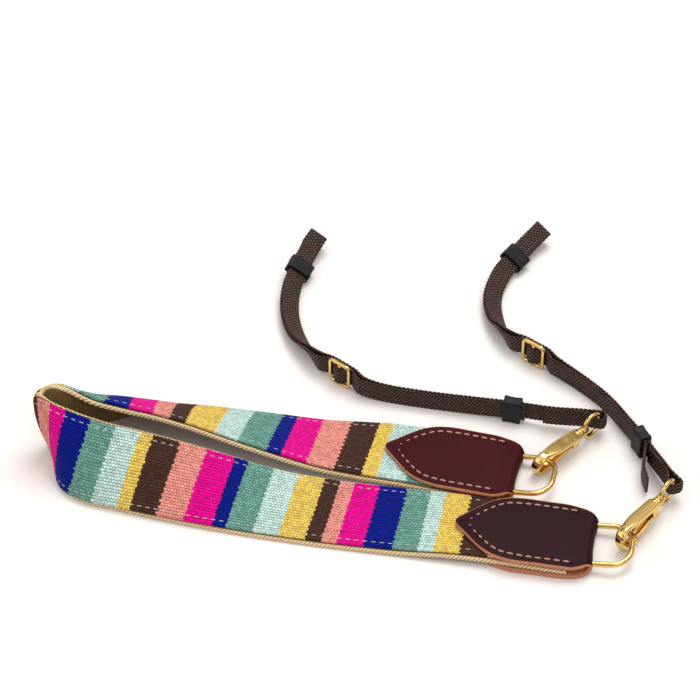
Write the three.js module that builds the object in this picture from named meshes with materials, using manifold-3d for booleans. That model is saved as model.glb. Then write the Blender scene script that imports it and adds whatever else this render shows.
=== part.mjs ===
// A camera neck strap laid down in a loose coil: a striped woven band on a cotton
// webbing backing, leather tabs with oval brass rings at its two ends, a swivel snap
// hook in each ring, and a narrow webbing tether on each hook.
// Millimetres, +Z up. X runs to the right and Y away from the front of the coil.
import * as THREE from 'three';
import * as BufferGeometryUtils from 'three/addons/utils/BufferGeometryUtils.js';
import Module from 'manifold-3d';

const wasm = await Module();
wasm.setup();

// Driving dimensions
const CENTRE_X = 3.2;         // middle of the footprint in the tables' own frame
const CENTRE_Y = -33.1;
const GAP = 0.3;              // air between neighbouring pieces
const FACE_WIDTH = 38;        // striped woven face
const FACE_WALL = 1.2;
const BACKING_WIDTH = 40;     // cotton webbing, which shows as a pale edge
const BACKING_WALL = 2.0;
const BAND_ACROSS = 4;        // cells across the band
const BAND_STEP = 6;          // mm along the band between sections

const LEATHER_WALL = 2.1;
const TAB_LENGTH = 65.5;
const TAB_HALF_WIDTH = 20.4;
// half of a tab's outline: each place from the tip, and the half width there
const TAB_TIP = { x: 0.6, half: 2.2 };
const TAB_FLANK = { x: 9, half: 10.8 };
const TAB_SWELL_X = 17;
const TAB_FULL_X = 28;
const TAB_LEVEL_X = 52;
const TAB_TURN = { x: 62, half: 20 };
const TAB_CORNER_HALF = 16.3;
const TAB_END_HALF = 8.6;
const TAB_POCKET = FACE_WALL + BACKING_WALL + 3 * GAP;

const SLOT_DEPTH = 16;        // slots in the leather's fold for the ring's side bars
const SLOT_PLAY = 2.0;
const SLOT_RISE = 0.35;       // the ring leans up, so the slots sit above the pocket's middle

const RING_WIRE = 2.7;
const RING_BAR_X = 61.0;      // hidden straight bar, from the tab's tip
const RING_END_X = 82.2;
const RING_HALF_WIDTH = 12.3;
const RING_END_RADIUS = 9.5;
const RING_BAR_RADIUS = 3.5;

const HOOK_LENGTH = 33;       // collar to the front of the bow
const HOOK_WIDTH = 6.4;
const HOOK_WALL = 2.4;
const BOW_WIDTH = 5.0;
const BOW_RADIUS = 5.05;      // middle of the wall
const BOW_DROP = 1.9;         // bow centre below the swivel axis
const BOW_LEG_END = 20.0;     // tip of the bow, from the collar
const BAR_START = { x: 2.2, z: 1.0 };   // middle of the bar's wall at the collar
const BAR_LEVEL_X = 4;        // the bar has its full width from here
const BAR_NARROW_X = 20;      // and narrows to the bow from here
const BAR_CORNER = 0.4;
const END_PLATE = { length: 1.6, width: 5.6, height: 5.2, x: 3.0, z: -0.4 };
const COLLAR_RADIUS = 2.5;
const COLLAR_LENGTH = 3.0;
const GATE_PIVOT_X = 6.2;
const GATE_PIVOT_Z = -3.0;
const GATE_END_X = 20.9;
const GATE_WALL = 1.1;
const GATE_WIDTH = 5.4;
const GATE_NECK_WIDTH = 3.8;  // between the cheeks
const GATE_NECK_X = 3.4;      // end of the neck, from the pin
const GATE_SHOULDER_X = 4.6;  // full width from here
const GATE_TIP_LENGTH = 3;    // the tip narrows over this length
const GATE_TIP_WIDTH = 4.0;
const GATE_HALF_DEPTH = 0.9;  // of the lever at its pin
const GATE_BARREL_RADIUS = 1.35;
const PIN_RADIUS = 0.75;
const PIN_HOLE_RADIUS = 1.1;
const PIN_SHORT = 0.1;        // pin and cheeks end this far inside the bar's edge
const CHEEK = { length: 4.6, wall: 0.8, height: 5.4, behindPin: 0.4, abovePin: 1.2 };
const EYE_RADIUS = 6.15;      // middle of the wire
const EYE_WIRE = 2.2;
const EYE_TO_COLLAR = 7.6;    // eye centre to the hook's collar
const POST_RADIUS = 1.3;
const POST_END_X = -4.2;
const HEAD_RADIUS = 2.1;      // of the post's head inside the eye
const HEAD_LENGTH = 1.2;
const HEAD_START_X = -4.9;
const BOSS_RADIUS = 2.4;      // of the eye's drilled boss
const BOSS_BEHIND = 1.7;      // from the middle of the wire to each end of the boss
const BOSS_AHEAD = 1.1;

const TETHER_WIDTH = 10;
const TETHER_WALL = 1.3;
const LAYER_OFFSET = 0.8;     // from the middle of a doubled tether to each layer
const SLIDER_WIRE = 2.0;
const SLIDER_HALF_LENGTH = 6.0;
const SLIDER_CORNER = 1.6;
const WIRE_SIDES = 8;
const OVERCUT = 2;            // how far a cutting shape reaches past what it cuts
const KEEPER_LENGTH = 9;
const KEEPER_WALL = 1.3;

// The band, from the front tab round the fold to the back tab. Each row is a section:
// the outer lower edge of the woven face (x, y), the compass angle towards the raised
// edge, the lean of the section above the surface, how far it bulges outwards, and the
// height of what it lies on.
const BAND_SECTIONS = [
  { x: 98.9, y: -155.1, toward: 79.3, lean: 0, bulge: 0, lift: 2.4 },
  { x: 49.7, y: -145.8, toward: 79.3, lean: 0, bulge: 0, lift: 2.4 },
  { x: 20, y: -141.5, toward: 78, lean: 3, bulge: 0, lift: 0.6 },
  { x: -14, y: -136, toward: 76, lean: 4, bulge: 0, lift: 0 },
  { x: -46, y: -130, toward: 75, lean: 8, bulge: 0.5, lift: 0 },
  { x: -78, y: -123, toward: 73, lean: 21, bulge: 1, lift: 0 },
  { x: -110, y: -114.3, toward: 70, lean: 34, bulge: 1.5, lift: 0 },
  { x: -127, y: -109, toward: 73, lean: 42, bulge: 1.5, lift: 0 },
  { x: -136.6, y: -101.8, toward: 77, lean: 52.5, bulge: 2.5, lift: 0 },
  { x: -141.1, y: -91, toward: 100, lean: 66.5, bulge: 2, lift: 0 },
  { x: -141.5, y: -80, toward: 142, lean: 72.5, bulge: -4, lift: 0 },
  { x: -139.6, y: -70, toward: 168, lean: 75, bulge: -4.5, lift: 0 },
  { x: -135, y: -61, toward: 203, lean: 74, bulge: -3, lift: 0 },
  { x: -127, y: -53.8, toward: 235, lean: 68.5, bulge: 2, lift: 0 },
  { x: -115, y: -48.2, toward: 255, lean: 54, bulge: 5.2, lift: 0 },
  { x: -102, y: -44.6, toward: 265, lean: 43, bulge: 4.8, lift: 0 },
  { x: -78, y: -43.5, toward: 263, lean: 32, bulge: 2.5, lift: 0 },
  { x: -46, y: -48.5, toward: 259, lean: 21, bulge: 1, lift: 0 },
  { x: -12, y: -54.5, toward: 257, lean: 10, bulge: 0, lift: 0 },
  { x: 10, y: -57.5, toward: 256, lean: 3, bulge: 0, lift: 1.2 },
  { x: 26, y: -60.4, toward: 255.4, lean: 0, bulge: 0, lift: 2.4 },
  { x: 74.3, y: -72.8, toward: 255.4, lean: 0, bulge: 0, lift: 2.4 },
];

// Tab frames: the tip, the compass angle from the tip to the ring, and how far the ring
// leans up into the hook
const TABS = {
  front: { x: 49.2, y: -127.2, angle: -10.7, ringTilt: 5.8 },
  back: { x: 17.3, y: -77.2, angle: -14.6, ringTilt: 7.5 },
};

// Hooks: the compass angle from the eye to the bow, the swivel axis's height and the roll
// about that axis. The eye hangs in the tether's own loop, which sets its place.
const HOOKS = {
  front: { angle: 231, height: 8.9, roll: 12 },
  back: { angle: 224, height: 8.8, roll: -8 },
};

// Tether routes, from the snap eye to the lug loop, on the middle of the two layers:
// roll 90 stands the webbing on edge and 0 lays it flat
const TETHERS = {
  front: [
    { x: 150.1, y: -98.4, roll: 90, lift: 3.9, spread: 0.8 },
    { x: 145.2, y: -86, roll: 90, lift: 2.8, spread: 0.8 },
    { x: 140.4, y: -73.5, roll: 90, lift: 1.8, spread: 0.8 },
    { x: 134.4, y: -60, roll: 90, lift: 0.8, spread: 0.8 },
    { x: 127.5, y: -46, roll: 90, lift: 0, spread: 0.8 },
    { x: 118.5, y: -34, roll: 90, lift: 0, spread: 0.8 },
    { x: 106.5, y: -22.5, roll: 90, lift: 1.2, spread: 1.1 },
    { x: 97.6, y: -15.6, roll: 90, lift: 2.4, spread: 2.2 },
    { x: 92, y: -10.8, roll: 90, lift: 2.4, spread: 2.2 },
    { x: 86.4, y: -6, roll: 90, lift: 2.4, spread: 2.2 },
    { x: 79, y: 5, roll: 68, lift: 1, spread: 1.1 },
    { x: 74.5, y: 20, roll: 34, lift: 0, spread: 0.8 },
    { x: 74, y: 37, roll: 30, lift: 0, spread: 0.8 },
    { x: 79.5, y: 54, roll: 30, lift: 1.3, spread: 0.8 },
    { x: 87, y: 65.5, roll: 30, lift: 2.5, spread: 0.8 },
    { x: 95, y: 77, roll: 30, lift: 3.5, spread: 0.8 },
  ],
  back: [
    { x: 114.3, y: -59, roll: 90, lift: 3.8, spread: 0.8 },
    { x: 98, y: -56.2, roll: 90, lift: 2.8, spread: 0.8 },
    { x: 79.5, y: -51.2, roll: 90, lift: 1.8, spread: 0.8 },
    { x: 60, y: -46.5, roll: 90, lift: 0.5, spread: 0.8 },
    { x: 40, y: -42.5, roll: 90, lift: 0, spread: 0.8 },
    { x: 22, y: -38.5, roll: 90, lift: 0, spread: 0.8 },
    { x: 9, y: -35, roll: 90, lift: 1.2, spread: 1.1 },
    { x: 0.5, y: -30.4, roll: 90, lift: 2.4, spread: 2.2 },
    { x: -5.2, y: -25.5, roll: 90, lift: 2.4, spread: 2.2 },
    { x: -11, y: -20.6, roll: 90, lift: 2.4, spread: 2.2 },
    { x: -19, y: -9.5, roll: 68, lift: 1, spread: 1.1 },
    { x: -27, y: 6, roll: 34, lift: 0, spread: 0.8 },
    { x: -31, y: 24, roll: 30, lift: 0, spread: 0.8 },
    { x: -30.5, y: 42, roll: 30, lift: 1.3, spread: 0.8 },
    { x: -26.5, y: 57, roll: 30, lift: 2.5, spread: 0.8 },
    { x: -22, y: 70, roll: 30, lift: 3.5, spread: 0.8 },
  ],
};
const TETHER_STEP = 4;         // mm along a tether between sections
const LOOP_STEPS = 14;         // sections round a loop
const LOOP_GATHER = 2.4;       // how soon the webbing gathers to the loop's own width
const TAIL_DROOP = 0.12;       // mm that the free tail sinks from one point to the next
const KEEPER_ROWS = { low: 2, high: 14 };
const SLIDER_ROW = 8;
const LUG_LOOP = { length: 13, bulge: 4.4, width: 10 };
const EYE_LOOP = { length: 10, bulge: 3.9, width: 6.0 };
const EYE_WIRE_FORWARD = 7.2;                    // where the eye's wire lies in that loop
const RETURN_LENGTH = { front: 15, back: 19 };   // sewn strand that comes back from the eye
const TAILS = {
  front: [
    { forward: 5.4, side: 0.85 },
    { forward: 8.6, side: 2.3 },
    { forward: 13, side: 5.6 },
    { forward: 19, side: 8.8 },
    { forward: 27, side: 11 },
  ],
  back: [{ forward: 6.4, side: 0.8 }],
};

const radians = THREE.MathUtils.degToRad;
const up = new THREE.Vector3(0, 0, 1);

// Colours
const finish = (color, roughness, metalness) =>
  new THREE.MeshStandardMaterial({ color, roughness, metalness });
const STRIPED_WEAVE = finish('#8a6f7c', 0.85, 0);
const COTTON_WEBBING = finish('#d9b98c', 0.9, 0);
const FRONT_LEATHER = finish('#3a1c1e', 0.5, 0);
const BACK_LEATHER = finish('#4a1318', 0.45, 0);
const BRASS = finish('#d9a441', 0.2, 1);
const BROWN_WEBBING = finish('#3a211d', 0.85, 0);
const BLACK_KEEPER = finish('#1d1d20', 0.6, 0);

// Solids and booleans

function bareGeometry(geometry) {
  const bare = geometry.index ? geometry.toNonIndexed() : geometry.clone();
  for (const name of ['normal', 'uv']) bare.deleteAttribute(name);
  return BufferGeometryUtils.mergeVertices(bare, 1e-4);
}

function toSolid(geometry) {
  const merged = bareGeometry(geometry);
  return new wasm.Manifold(new wasm.Mesh({
    numProp: 3,
    vertProperties: new Float32Array(merged.attributes.position.array),
    triVerts: new Uint32Array(merged.index.array),
  }));
}

function toGeometry(solid) {
  const mesh = solid.getMesh();
  const geometry = new THREE.BufferGeometry();
  geometry.setAttribute('position', new THREE.BufferAttribute(mesh.vertProperties, 3));
  geometry.setIndex(new THREE.BufferAttribute(mesh.triVerts, 1));
  return geometry;
}

const placed = (geometry, x, y, z) => geometry.clone().translate(x, y, z);

// A closed wall between two grids of points: outer[i][j] and inner[i][j]
function wallGeometry(outer, inner) {
  const rows = outer.length;
  const columns = outer[0].length;
  const points = [...outer.flat(), ...inner.flat()];
  const at = (side, i, j) => side * rows * columns + i * columns + j;
  const triangles = [];
  const quad = (a, b, c, d) => triangles.push(a, b, c, a, c, d);
  for (let i = 0; i < rows - 1; i++) {
    for (let j = 0; j < columns - 1; j++) {
      quad(at(0, i, j), at(0, i + 1, j), at(0, i + 1, j + 1), at(0, i, j + 1));
      quad(at(1, i, j), at(1, i, j + 1), at(1, i + 1, j + 1), at(1, i + 1, j));
    }
    quad(at(1, i, 0), at(1, i + 1, 0), at(0, i + 1, 0), at(0, i, 0));
    const last = columns - 1;
    quad(at(0, i, last), at(0, i + 1, last), at(1, i + 1, last), at(1, i, last));
  }
  for (let j = 0; j < columns - 1; j++) {
    quad(at(0, 0, j), at(0, 0, j + 1), at(1, 0, j + 1), at(1, 0, j));
    const end = rows - 1;
    quad(at(0, end, j), at(1, end, j), at(1, end, j + 1), at(0, end, j + 1));
  }
  const geometry = new THREE.BufferGeometry();
  geometry.setAttribute('position', new THREE.Float32BufferAttribute(
    points.flatMap((p) => [p.x, p.y, p.z]), 3));
  geometry.setIndex(triangles);
  if (signedVolume(points, triangles) < 0) {
    for (let k = 0; k < triangles.length; k += 3) {
      [triangles[k], triangles[k + 1]] = [triangles[k + 1], triangles[k]];
    }
    geometry.setIndex(triangles);
  }
  return geometry;
}

function signedVolume(points, triangles) {
  let volume = 0;
  const normal = new THREE.Vector3();
  for (let k = 0; k < triangles.length; k += 3) {
    const [a, b, c] = [0, 1, 2].map((n) => points[triangles[k + n]]);
    volume += a.dot(normal.crossVectors(b, c)) / 6;
  }
  return volume;
}

// Smooth rows: a centripetal curve through (x, y) carries the other columns with it
function smoothRows(rows, step, columns) {
  const knots = rows.map((row) => new THREE.Vector3(row.x, row.y, 0));
  const curve = new THREE.CatmullRomCurve3(knots, false, 'centripetal');
  const sides = columns.map((name) => new THREE.SplineCurve(
    rows.map((row, i) => new THREE.Vector2(i, row[name]))));
  const out = [];
  for (let i = 0; i < rows.length - 1; i++) {
    const span = knots[i].distanceTo(knots[i + 1]);
    const cells = Math.max(1, Math.round(span / step));
    for (let k = 0; k < cells + (i === rows.length - 2 ? 1 : 0); k++) {
      const t = (i + k / cells) / (rows.length - 1);
      const p = curve.getPoint(t);
      const tangent = curve.getTangent(t);
      const row = { x: p.x, y: p.y, tangent, knot: i + k / cells };
      columns.forEach((name, n) => { row[name] = sides[n].getPoint(t).y; });
      out.push(row);
    }
  }
  return out;
}

// The band: each section is an arc of the strap's own width, leaned and bulged
function bandPoint(row, across, width) {
  const chord = FACE_WIDTH * (1 - (8 / 3) * (row.bulge / FACE_WIDTH) ** 2);
  const along = new THREE.Vector3(
    Math.cos(radians(row.toward)) * Math.cos(radians(row.lean)),
    Math.sin(radians(row.toward)) * Math.cos(radians(row.lean)),
    Math.sin(radians(row.lean)));
  const outward = new THREE.Vector3(
    -Math.cos(radians(row.toward)) * Math.sin(radians(row.lean)),
    -Math.sin(radians(row.toward)) * Math.sin(radians(row.lean)),
    Math.cos(radians(row.lean)));
  const u = 0.5 + (across - 0.5) * (width / FACE_WIDTH);
  const sag = row.bulge * 4 * u * (1 - u);
  return new THREE.Vector3(row.x, row.y, 0)
    .addScaledVector(along, chord * u)
    .addScaledVector(outward, sag);
}

function bandGrids(rows) {
  const sheet = (width) => rows.map((row) => {
    const line = [];
    for (let j = 0; j <= BAND_ACROSS; j++) line.push(bandPoint(row, j / BAND_ACROSS, width));
    return line;
  });
  const normals = (grid) => grid.map((line, i) => line.map((p, j) => {
    const before = grid[Math.max(i - 1, 0)][j];
    const after = grid[Math.min(i + 1, grid.length - 1)][j];
    const low = line[Math.max(j - 1, 0)];
    const high = line[Math.min(j + 1, BAND_ACROSS)];
    return after.clone().sub(before).cross(high.clone().sub(low)).normalize();
  }));
  const face = sheet(FACE_WIDTH);
  const back = sheet(BACKING_WIDTH);
  const offset = (grid, distance) => {
    const n = normals(grid);
    return grid.map((line, i) => line.map(
      (p, j) => p.clone().addScaledVector(n[i][j], distance)));
  };
  const under = offset(face, FACE_WALL);
  const top = offset(back, FACE_WALL + GAP);
  const bottom = offset(back, FACE_WALL + GAP + BACKING_WALL);
  // each section is let down until its lowest point meets what it lies on
  rows.forEach((row, i) => {
    const all = [...top[i], ...bottom[i], ...face[i]];
    const drop = Math.max(0, row.lift) - Math.min(...all.map((p) => p.z));
    for (const line of [face[i], under[i], top[i], bottom[i]]) {
      for (const p of line) p.z += drop;
    }
  });
  return { face: [face, under], backing: [top, bottom] };
}

// Leather tab, folded round the ring's hidden bar, in the tab's frame: tip at the origin
function tabOutline() {
  const w = TAB_HALF_WIDTH;
  const { x: turnX, half: turn } = TAB_TURN;
  const shape = new THREE.Shape();
  shape.moveTo(TAB_TIP.x, -TAB_TIP.half);
  shape.quadraticCurveTo(0, 0, TAB_TIP.x, TAB_TIP.half);
  shape.lineTo(TAB_FLANK.x, TAB_FLANK.half);
  shape.quadraticCurveTo(TAB_SWELL_X, w, TAB_FULL_X, w);
  shape.lineTo(TAB_LEVEL_X, w);
  shape.bezierCurveTo(turnX, turn, TAB_LENGTH, TAB_CORNER_HALF, TAB_LENGTH, TAB_END_HALF);
  shape.lineTo(TAB_LENGTH, -TAB_END_HALF);
  shape.bezierCurveTo(TAB_LENGTH, -TAB_CORNER_HALF, turnX, -turn, TAB_LEVEL_X, -w);
  shape.lineTo(TAB_FULL_X, -w);
  shape.quadraticCurveTo(TAB_SWELL_X, -w, TAB_FLANK.x, -TAB_FLANK.half);
  shape.closePath();
  return shape;
}

function tabGeometry() {
  const height = TAB_POCKET + 2 * LEATHER_WALL;
  const plan = extruded(tabOutline(), height + 2 * OVERCUT, 6);
  plan.translate(0, 0, -OVERCUT);
  // side view: top layer, fold and bottom layer as one wall
  const inner = TAB_POCKET / 2;
  const outer = inner + LEATHER_WALL;
  const middle = LEATHER_WALL + inner;
  const side = new THREE.Shape();
  side.moveTo(-OVERCUT, 0);
  side.lineTo(TAB_LENGTH - outer, 0);
  side.absarc(TAB_LENGTH - outer, middle, outer, -Math.PI / 2, Math.PI / 2, false);
  side.lineTo(-OVERCUT, height);
  side.lineTo(-OVERCUT, height - LEATHER_WALL);
  side.lineTo(TAB_LENGTH - outer, height - LEATHER_WALL);
  side.absarc(TAB_LENGTH - outer, middle, inner, Math.PI / 2, -Math.PI / 2, true);
  side.lineTo(-OVERCUT, LEATHER_WALL);
  side.closePath();
  const wallWidth = 2 * (TAB_HALF_WIDTH + OVERCUT);
  const wall = sideways(extruded(side, wallWidth, 8), wallWidth);
  let solid = toSolid(wall).intersect(toSolid(plan));
  // the ring's side bars leave through two slots in the fold
  const slot = new THREE.BoxGeometry(SLOT_DEPTH, RING_WIRE + SLOT_PLAY, RING_WIRE + SLOT_PLAY);
  for (const barY of [-RING_HALF_WIDTH, RING_HALF_WIDTH]) {
    solid = solid.subtract(toSolid(placed(slot, TAB_LENGTH, barY, middle + SLOT_RISE)));
  }
  return toGeometry(solid);
}

// A wire bent along a flat closed outline and joined end to end
class FlatPath extends THREE.Curve {
  constructor(outline) {
    super();
    this.outline = outline;
  }

  getPoint(t, target = new THREE.Vector3()) {
    const p = this.outline.getPointAt(t);
    return target.set(p.x, p.y, 0);
  }
}

const wireGeometry = (outline, cells, wire) =>
  new THREE.TubeGeometry(new FlatPath(outline), cells, wire / 2, WIRE_SIDES, true);

// Oval ring: a rounded rectangle, bar side to free end
function ringGeometry() {
  const outline = new THREE.Path();
  const w = RING_HALF_WIDTH;
  const b = RING_BAR_RADIUS;
  const e = RING_END_RADIUS;
  const length = RING_END_X - RING_BAR_X;
  outline.moveTo(0, -w + b);
  outline.lineTo(0, w - b);
  outline.absarc(b, w - b, b, Math.PI, Math.PI / 2, true);
  outline.lineTo(length - e, w);
  outline.absarc(length - e, w - e, e, Math.PI / 2, 0, true);
  outline.lineTo(length, -w + e);
  outline.absarc(length - e, -w + e, e, 0, -Math.PI / 2, true);
  outline.lineTo(b, -w);
  outline.absarc(b, -w + b, b, -Math.PI / 2, -Math.PI, true);
  return wireGeometry(outline, 38, RING_WIRE);
}

// Snap hook, in its own frame: X from the collar to the bow, Z in the hook's plane
function hookSideShape() {
  const half = HOOK_WALL / 2;
  const cx = HOOK_LENGTH - BOW_RADIUS - half;
  const cz = -BOW_DROP;
  const shape = new THREE.Shape();
  shape.moveTo(BAR_START.x, BAR_START.z + half);
  shape.lineTo(cx, cz + BOW_RADIUS + half);
  shape.absarc(cx, cz, BOW_RADIUS + half, Math.PI / 2, -Math.PI / 2, true);
  shape.lineTo(BOW_LEG_END + half, cz - BOW_RADIUS - half);
  shape.absarc(BOW_LEG_END + half, cz - BOW_RADIUS, half, -Math.PI / 2, -3 * Math.PI / 2, true);
  shape.lineTo(cx, cz - BOW_RADIUS + half);
  shape.absarc(cx, cz, BOW_RADIUS - half, -Math.PI / 2, Math.PI / 2, false);
  shape.lineTo(BAR_START.x, BAR_START.z - half);
  shape.closePath();
  return shape;
}

function sideways(geometry, width) {
  geometry.rotateX(Math.PI / 2);
  geometry.translate(0, width / 2, 0);
  return geometry;
}

const extruded = (shape, depth, curveSegments = 10) =>
  new THREE.ExtrudeGeometry(shape, { depth, bevelEnabled: false, curveSegments });

function cylinderX(radius, x0, x1, sides = 14) {
  const geometry = new THREE.CylinderGeometry(radius, radius, x1 - x0, sides);
  geometry.rotateZ(-Math.PI / 2);
  return geometry.translate((x0 + x1) / 2, 0, 0);
}

function cylinderY(radius, halfLength, x, z, sides = 12) {
  return new THREE.CylinderGeometry(radius, radius, 2 * halfLength, sides).translate(x, 0, z);
}

function hookBodyGeometry() {
  const side = sideways(extruded(hookSideShape(), HOOK_WIDTH), HOOK_WIDTH);
  const plan = new THREE.Shape();
  const wide = HOOK_WIDTH / 2;
  const narrow = BOW_WIDTH / 2;
  const end = HOOK_LENGTH + OVERCUT;
  const bendX = (BAR_NARROW_X + end) / 2;
  plan.moveTo(0, -wide + BAR_CORNER);
  plan.lineTo(BAR_LEVEL_X, -wide);
  plan.lineTo(BAR_NARROW_X, -wide);
  plan.quadraticCurveTo(bendX, -narrow, end, -narrow);
  plan.lineTo(end, narrow);
  plan.quadraticCurveTo(bendX, narrow, BAR_NARROW_X, wide);
  plan.lineTo(BAR_LEVEL_X, wide);
  plan.lineTo(0, wide - BAR_CORNER);
  plan.closePath();
  const planSolid = toSolid(placed(extruded(plan, HOOK_LENGTH, 5), 0, 0, -HOOK_LENGTH / 2));
  let solid = toSolid(side).intersect(planSolid);
  // end plate and collar that carry the swivel post, and its head inside the eye
  const endPlate = new THREE.BoxGeometry(END_PLATE.length, END_PLATE.width, END_PLATE.height);
  solid = solid.add(toSolid(placed(endPlate, END_PLATE.x, 0, END_PLATE.z)));
  solid = solid.add(toSolid(cylinderX(COLLAR_RADIUS, 0, COLLAR_LENGTH)));
  solid = solid.add(toSolid(cylinderX(POST_RADIUS, POST_END_X, COLLAR_LENGTH / 2)));
  const headEndX = HEAD_START_X + HEAD_LENGTH;
  solid = solid.add(toSolid(cylinderX(HEAD_RADIUS, HEAD_START_X, headEndX, 12)));
  // two cheeks under the bar carry the gate's pin
  const cheek = new THREE.BoxGeometry(CHEEK.length, CHEEK.wall, CHEEK.height);
  const cheekX = GATE_PIVOT_X - CHEEK.behindPin;
  const cheekY = HOOK_WIDTH / 2 - CHEEK.wall / 2 - PIN_SHORT;
  for (const y of [-cheekY, cheekY]) {
    solid = solid.add(toSolid(placed(cheek, cheekX, y, GATE_PIVOT_Z + CHEEK.abovePin)));
  }
  const pinHole = cylinderY(PIN_HOLE_RADIUS, HOOK_WIDTH, GATE_PIVOT_X, GATE_PIVOT_Z);
  solid = solid.subtract(toSolid(pinHole));
  return toGeometry(solid);
}

// Gate, in the pivot's frame: X towards the bow's tip, the pin along Y
function gateGeometry() {
  const reach = GATE_END_X - GATE_PIVOT_X;
  const restZ = -BOW_DROP - BOW_RADIUS + HOOK_WALL / 2 + GAP;
  const drop = restZ - GATE_PIVOT_Z;
  const profile = new THREE.Shape();
  profile.moveTo(0, GATE_HALF_DEPTH);
  profile.lineTo(reach, drop + GATE_WALL);
  profile.lineTo(reach, drop);
  profile.lineTo(reach - GATE_TIP_LENGTH, drop);
  profile.lineTo(GATE_BARREL_RADIUS, -GATE_HALF_DEPTH);
  profile.lineTo(0, -GATE_HALF_DEPTH);
  profile.closePath();
  const plate = sideways(extruded(profile, GATE_WIDTH), GATE_WIDTH);
  const neck = new THREE.Shape();
  const halfNeck = GATE_NECK_WIDTH / 2;
  const halfWidth = GATE_WIDTH / 2;
  const halfTip = GATE_TIP_WIDTH / 2;
  neck.moveTo(-OVERCUT, -halfNeck);
  neck.lineTo(GATE_NECK_X, -halfNeck);
  neck.lineTo(GATE_SHOULDER_X, -halfWidth);
  neck.lineTo(reach - GATE_TIP_LENGTH, -halfWidth);
  neck.lineTo(reach, -halfTip);
  neck.lineTo(reach, halfTip);
  neck.lineTo(reach - GATE_TIP_LENGTH, halfWidth);
  neck.lineTo(GATE_SHOULDER_X, halfWidth);
  neck.lineTo(GATE_NECK_X, halfNeck);
  neck.lineTo(-OVERCUT, halfNeck);
  neck.closePath();
  const neckSolid = toSolid(placed(extruded(neck, HOOK_LENGTH), 0, 0, -HOOK_LENGTH / 2));
  let solid = toSolid(plate).intersect(neckSolid);
  solid = solid.add(toSolid(cylinderY(GATE_BARREL_RADIUS, halfNeck, 0, 0)));
  solid = solid.add(toSolid(cylinderY(PIN_RADIUS, HOOK_WIDTH / 2 - PIN_SHORT, 0, 0)));
  return toGeometry(solid);
}

// Swivel eye, in the hook's frame: a round ring with a drilled boss for the post
function eyeGeometry() {
  const ring = new THREE.TorusGeometry(EYE_RADIUS, EYE_WIRE / 2, 8, 28);
  ring.rotateX(Math.PI / 2);
  ring.translate(-EYE_TO_COLLAR, 0, 0);
  const nearWire = -EYE_TO_COLLAR + EYE_RADIUS;
  let solid = toSolid(ring);
  const boss = cylinderX(BOSS_RADIUS, nearWire - BOSS_BEHIND, nearWire + BOSS_AHEAD);
  const drill = cylinderX(POST_RADIUS + GAP, nearWire - EYE_RADIUS, nearWire + EYE_RADIUS);
  solid = solid.add(toSolid(boss)).subtract(toSolid(drill));
  return toGeometry(solid);
}

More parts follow.
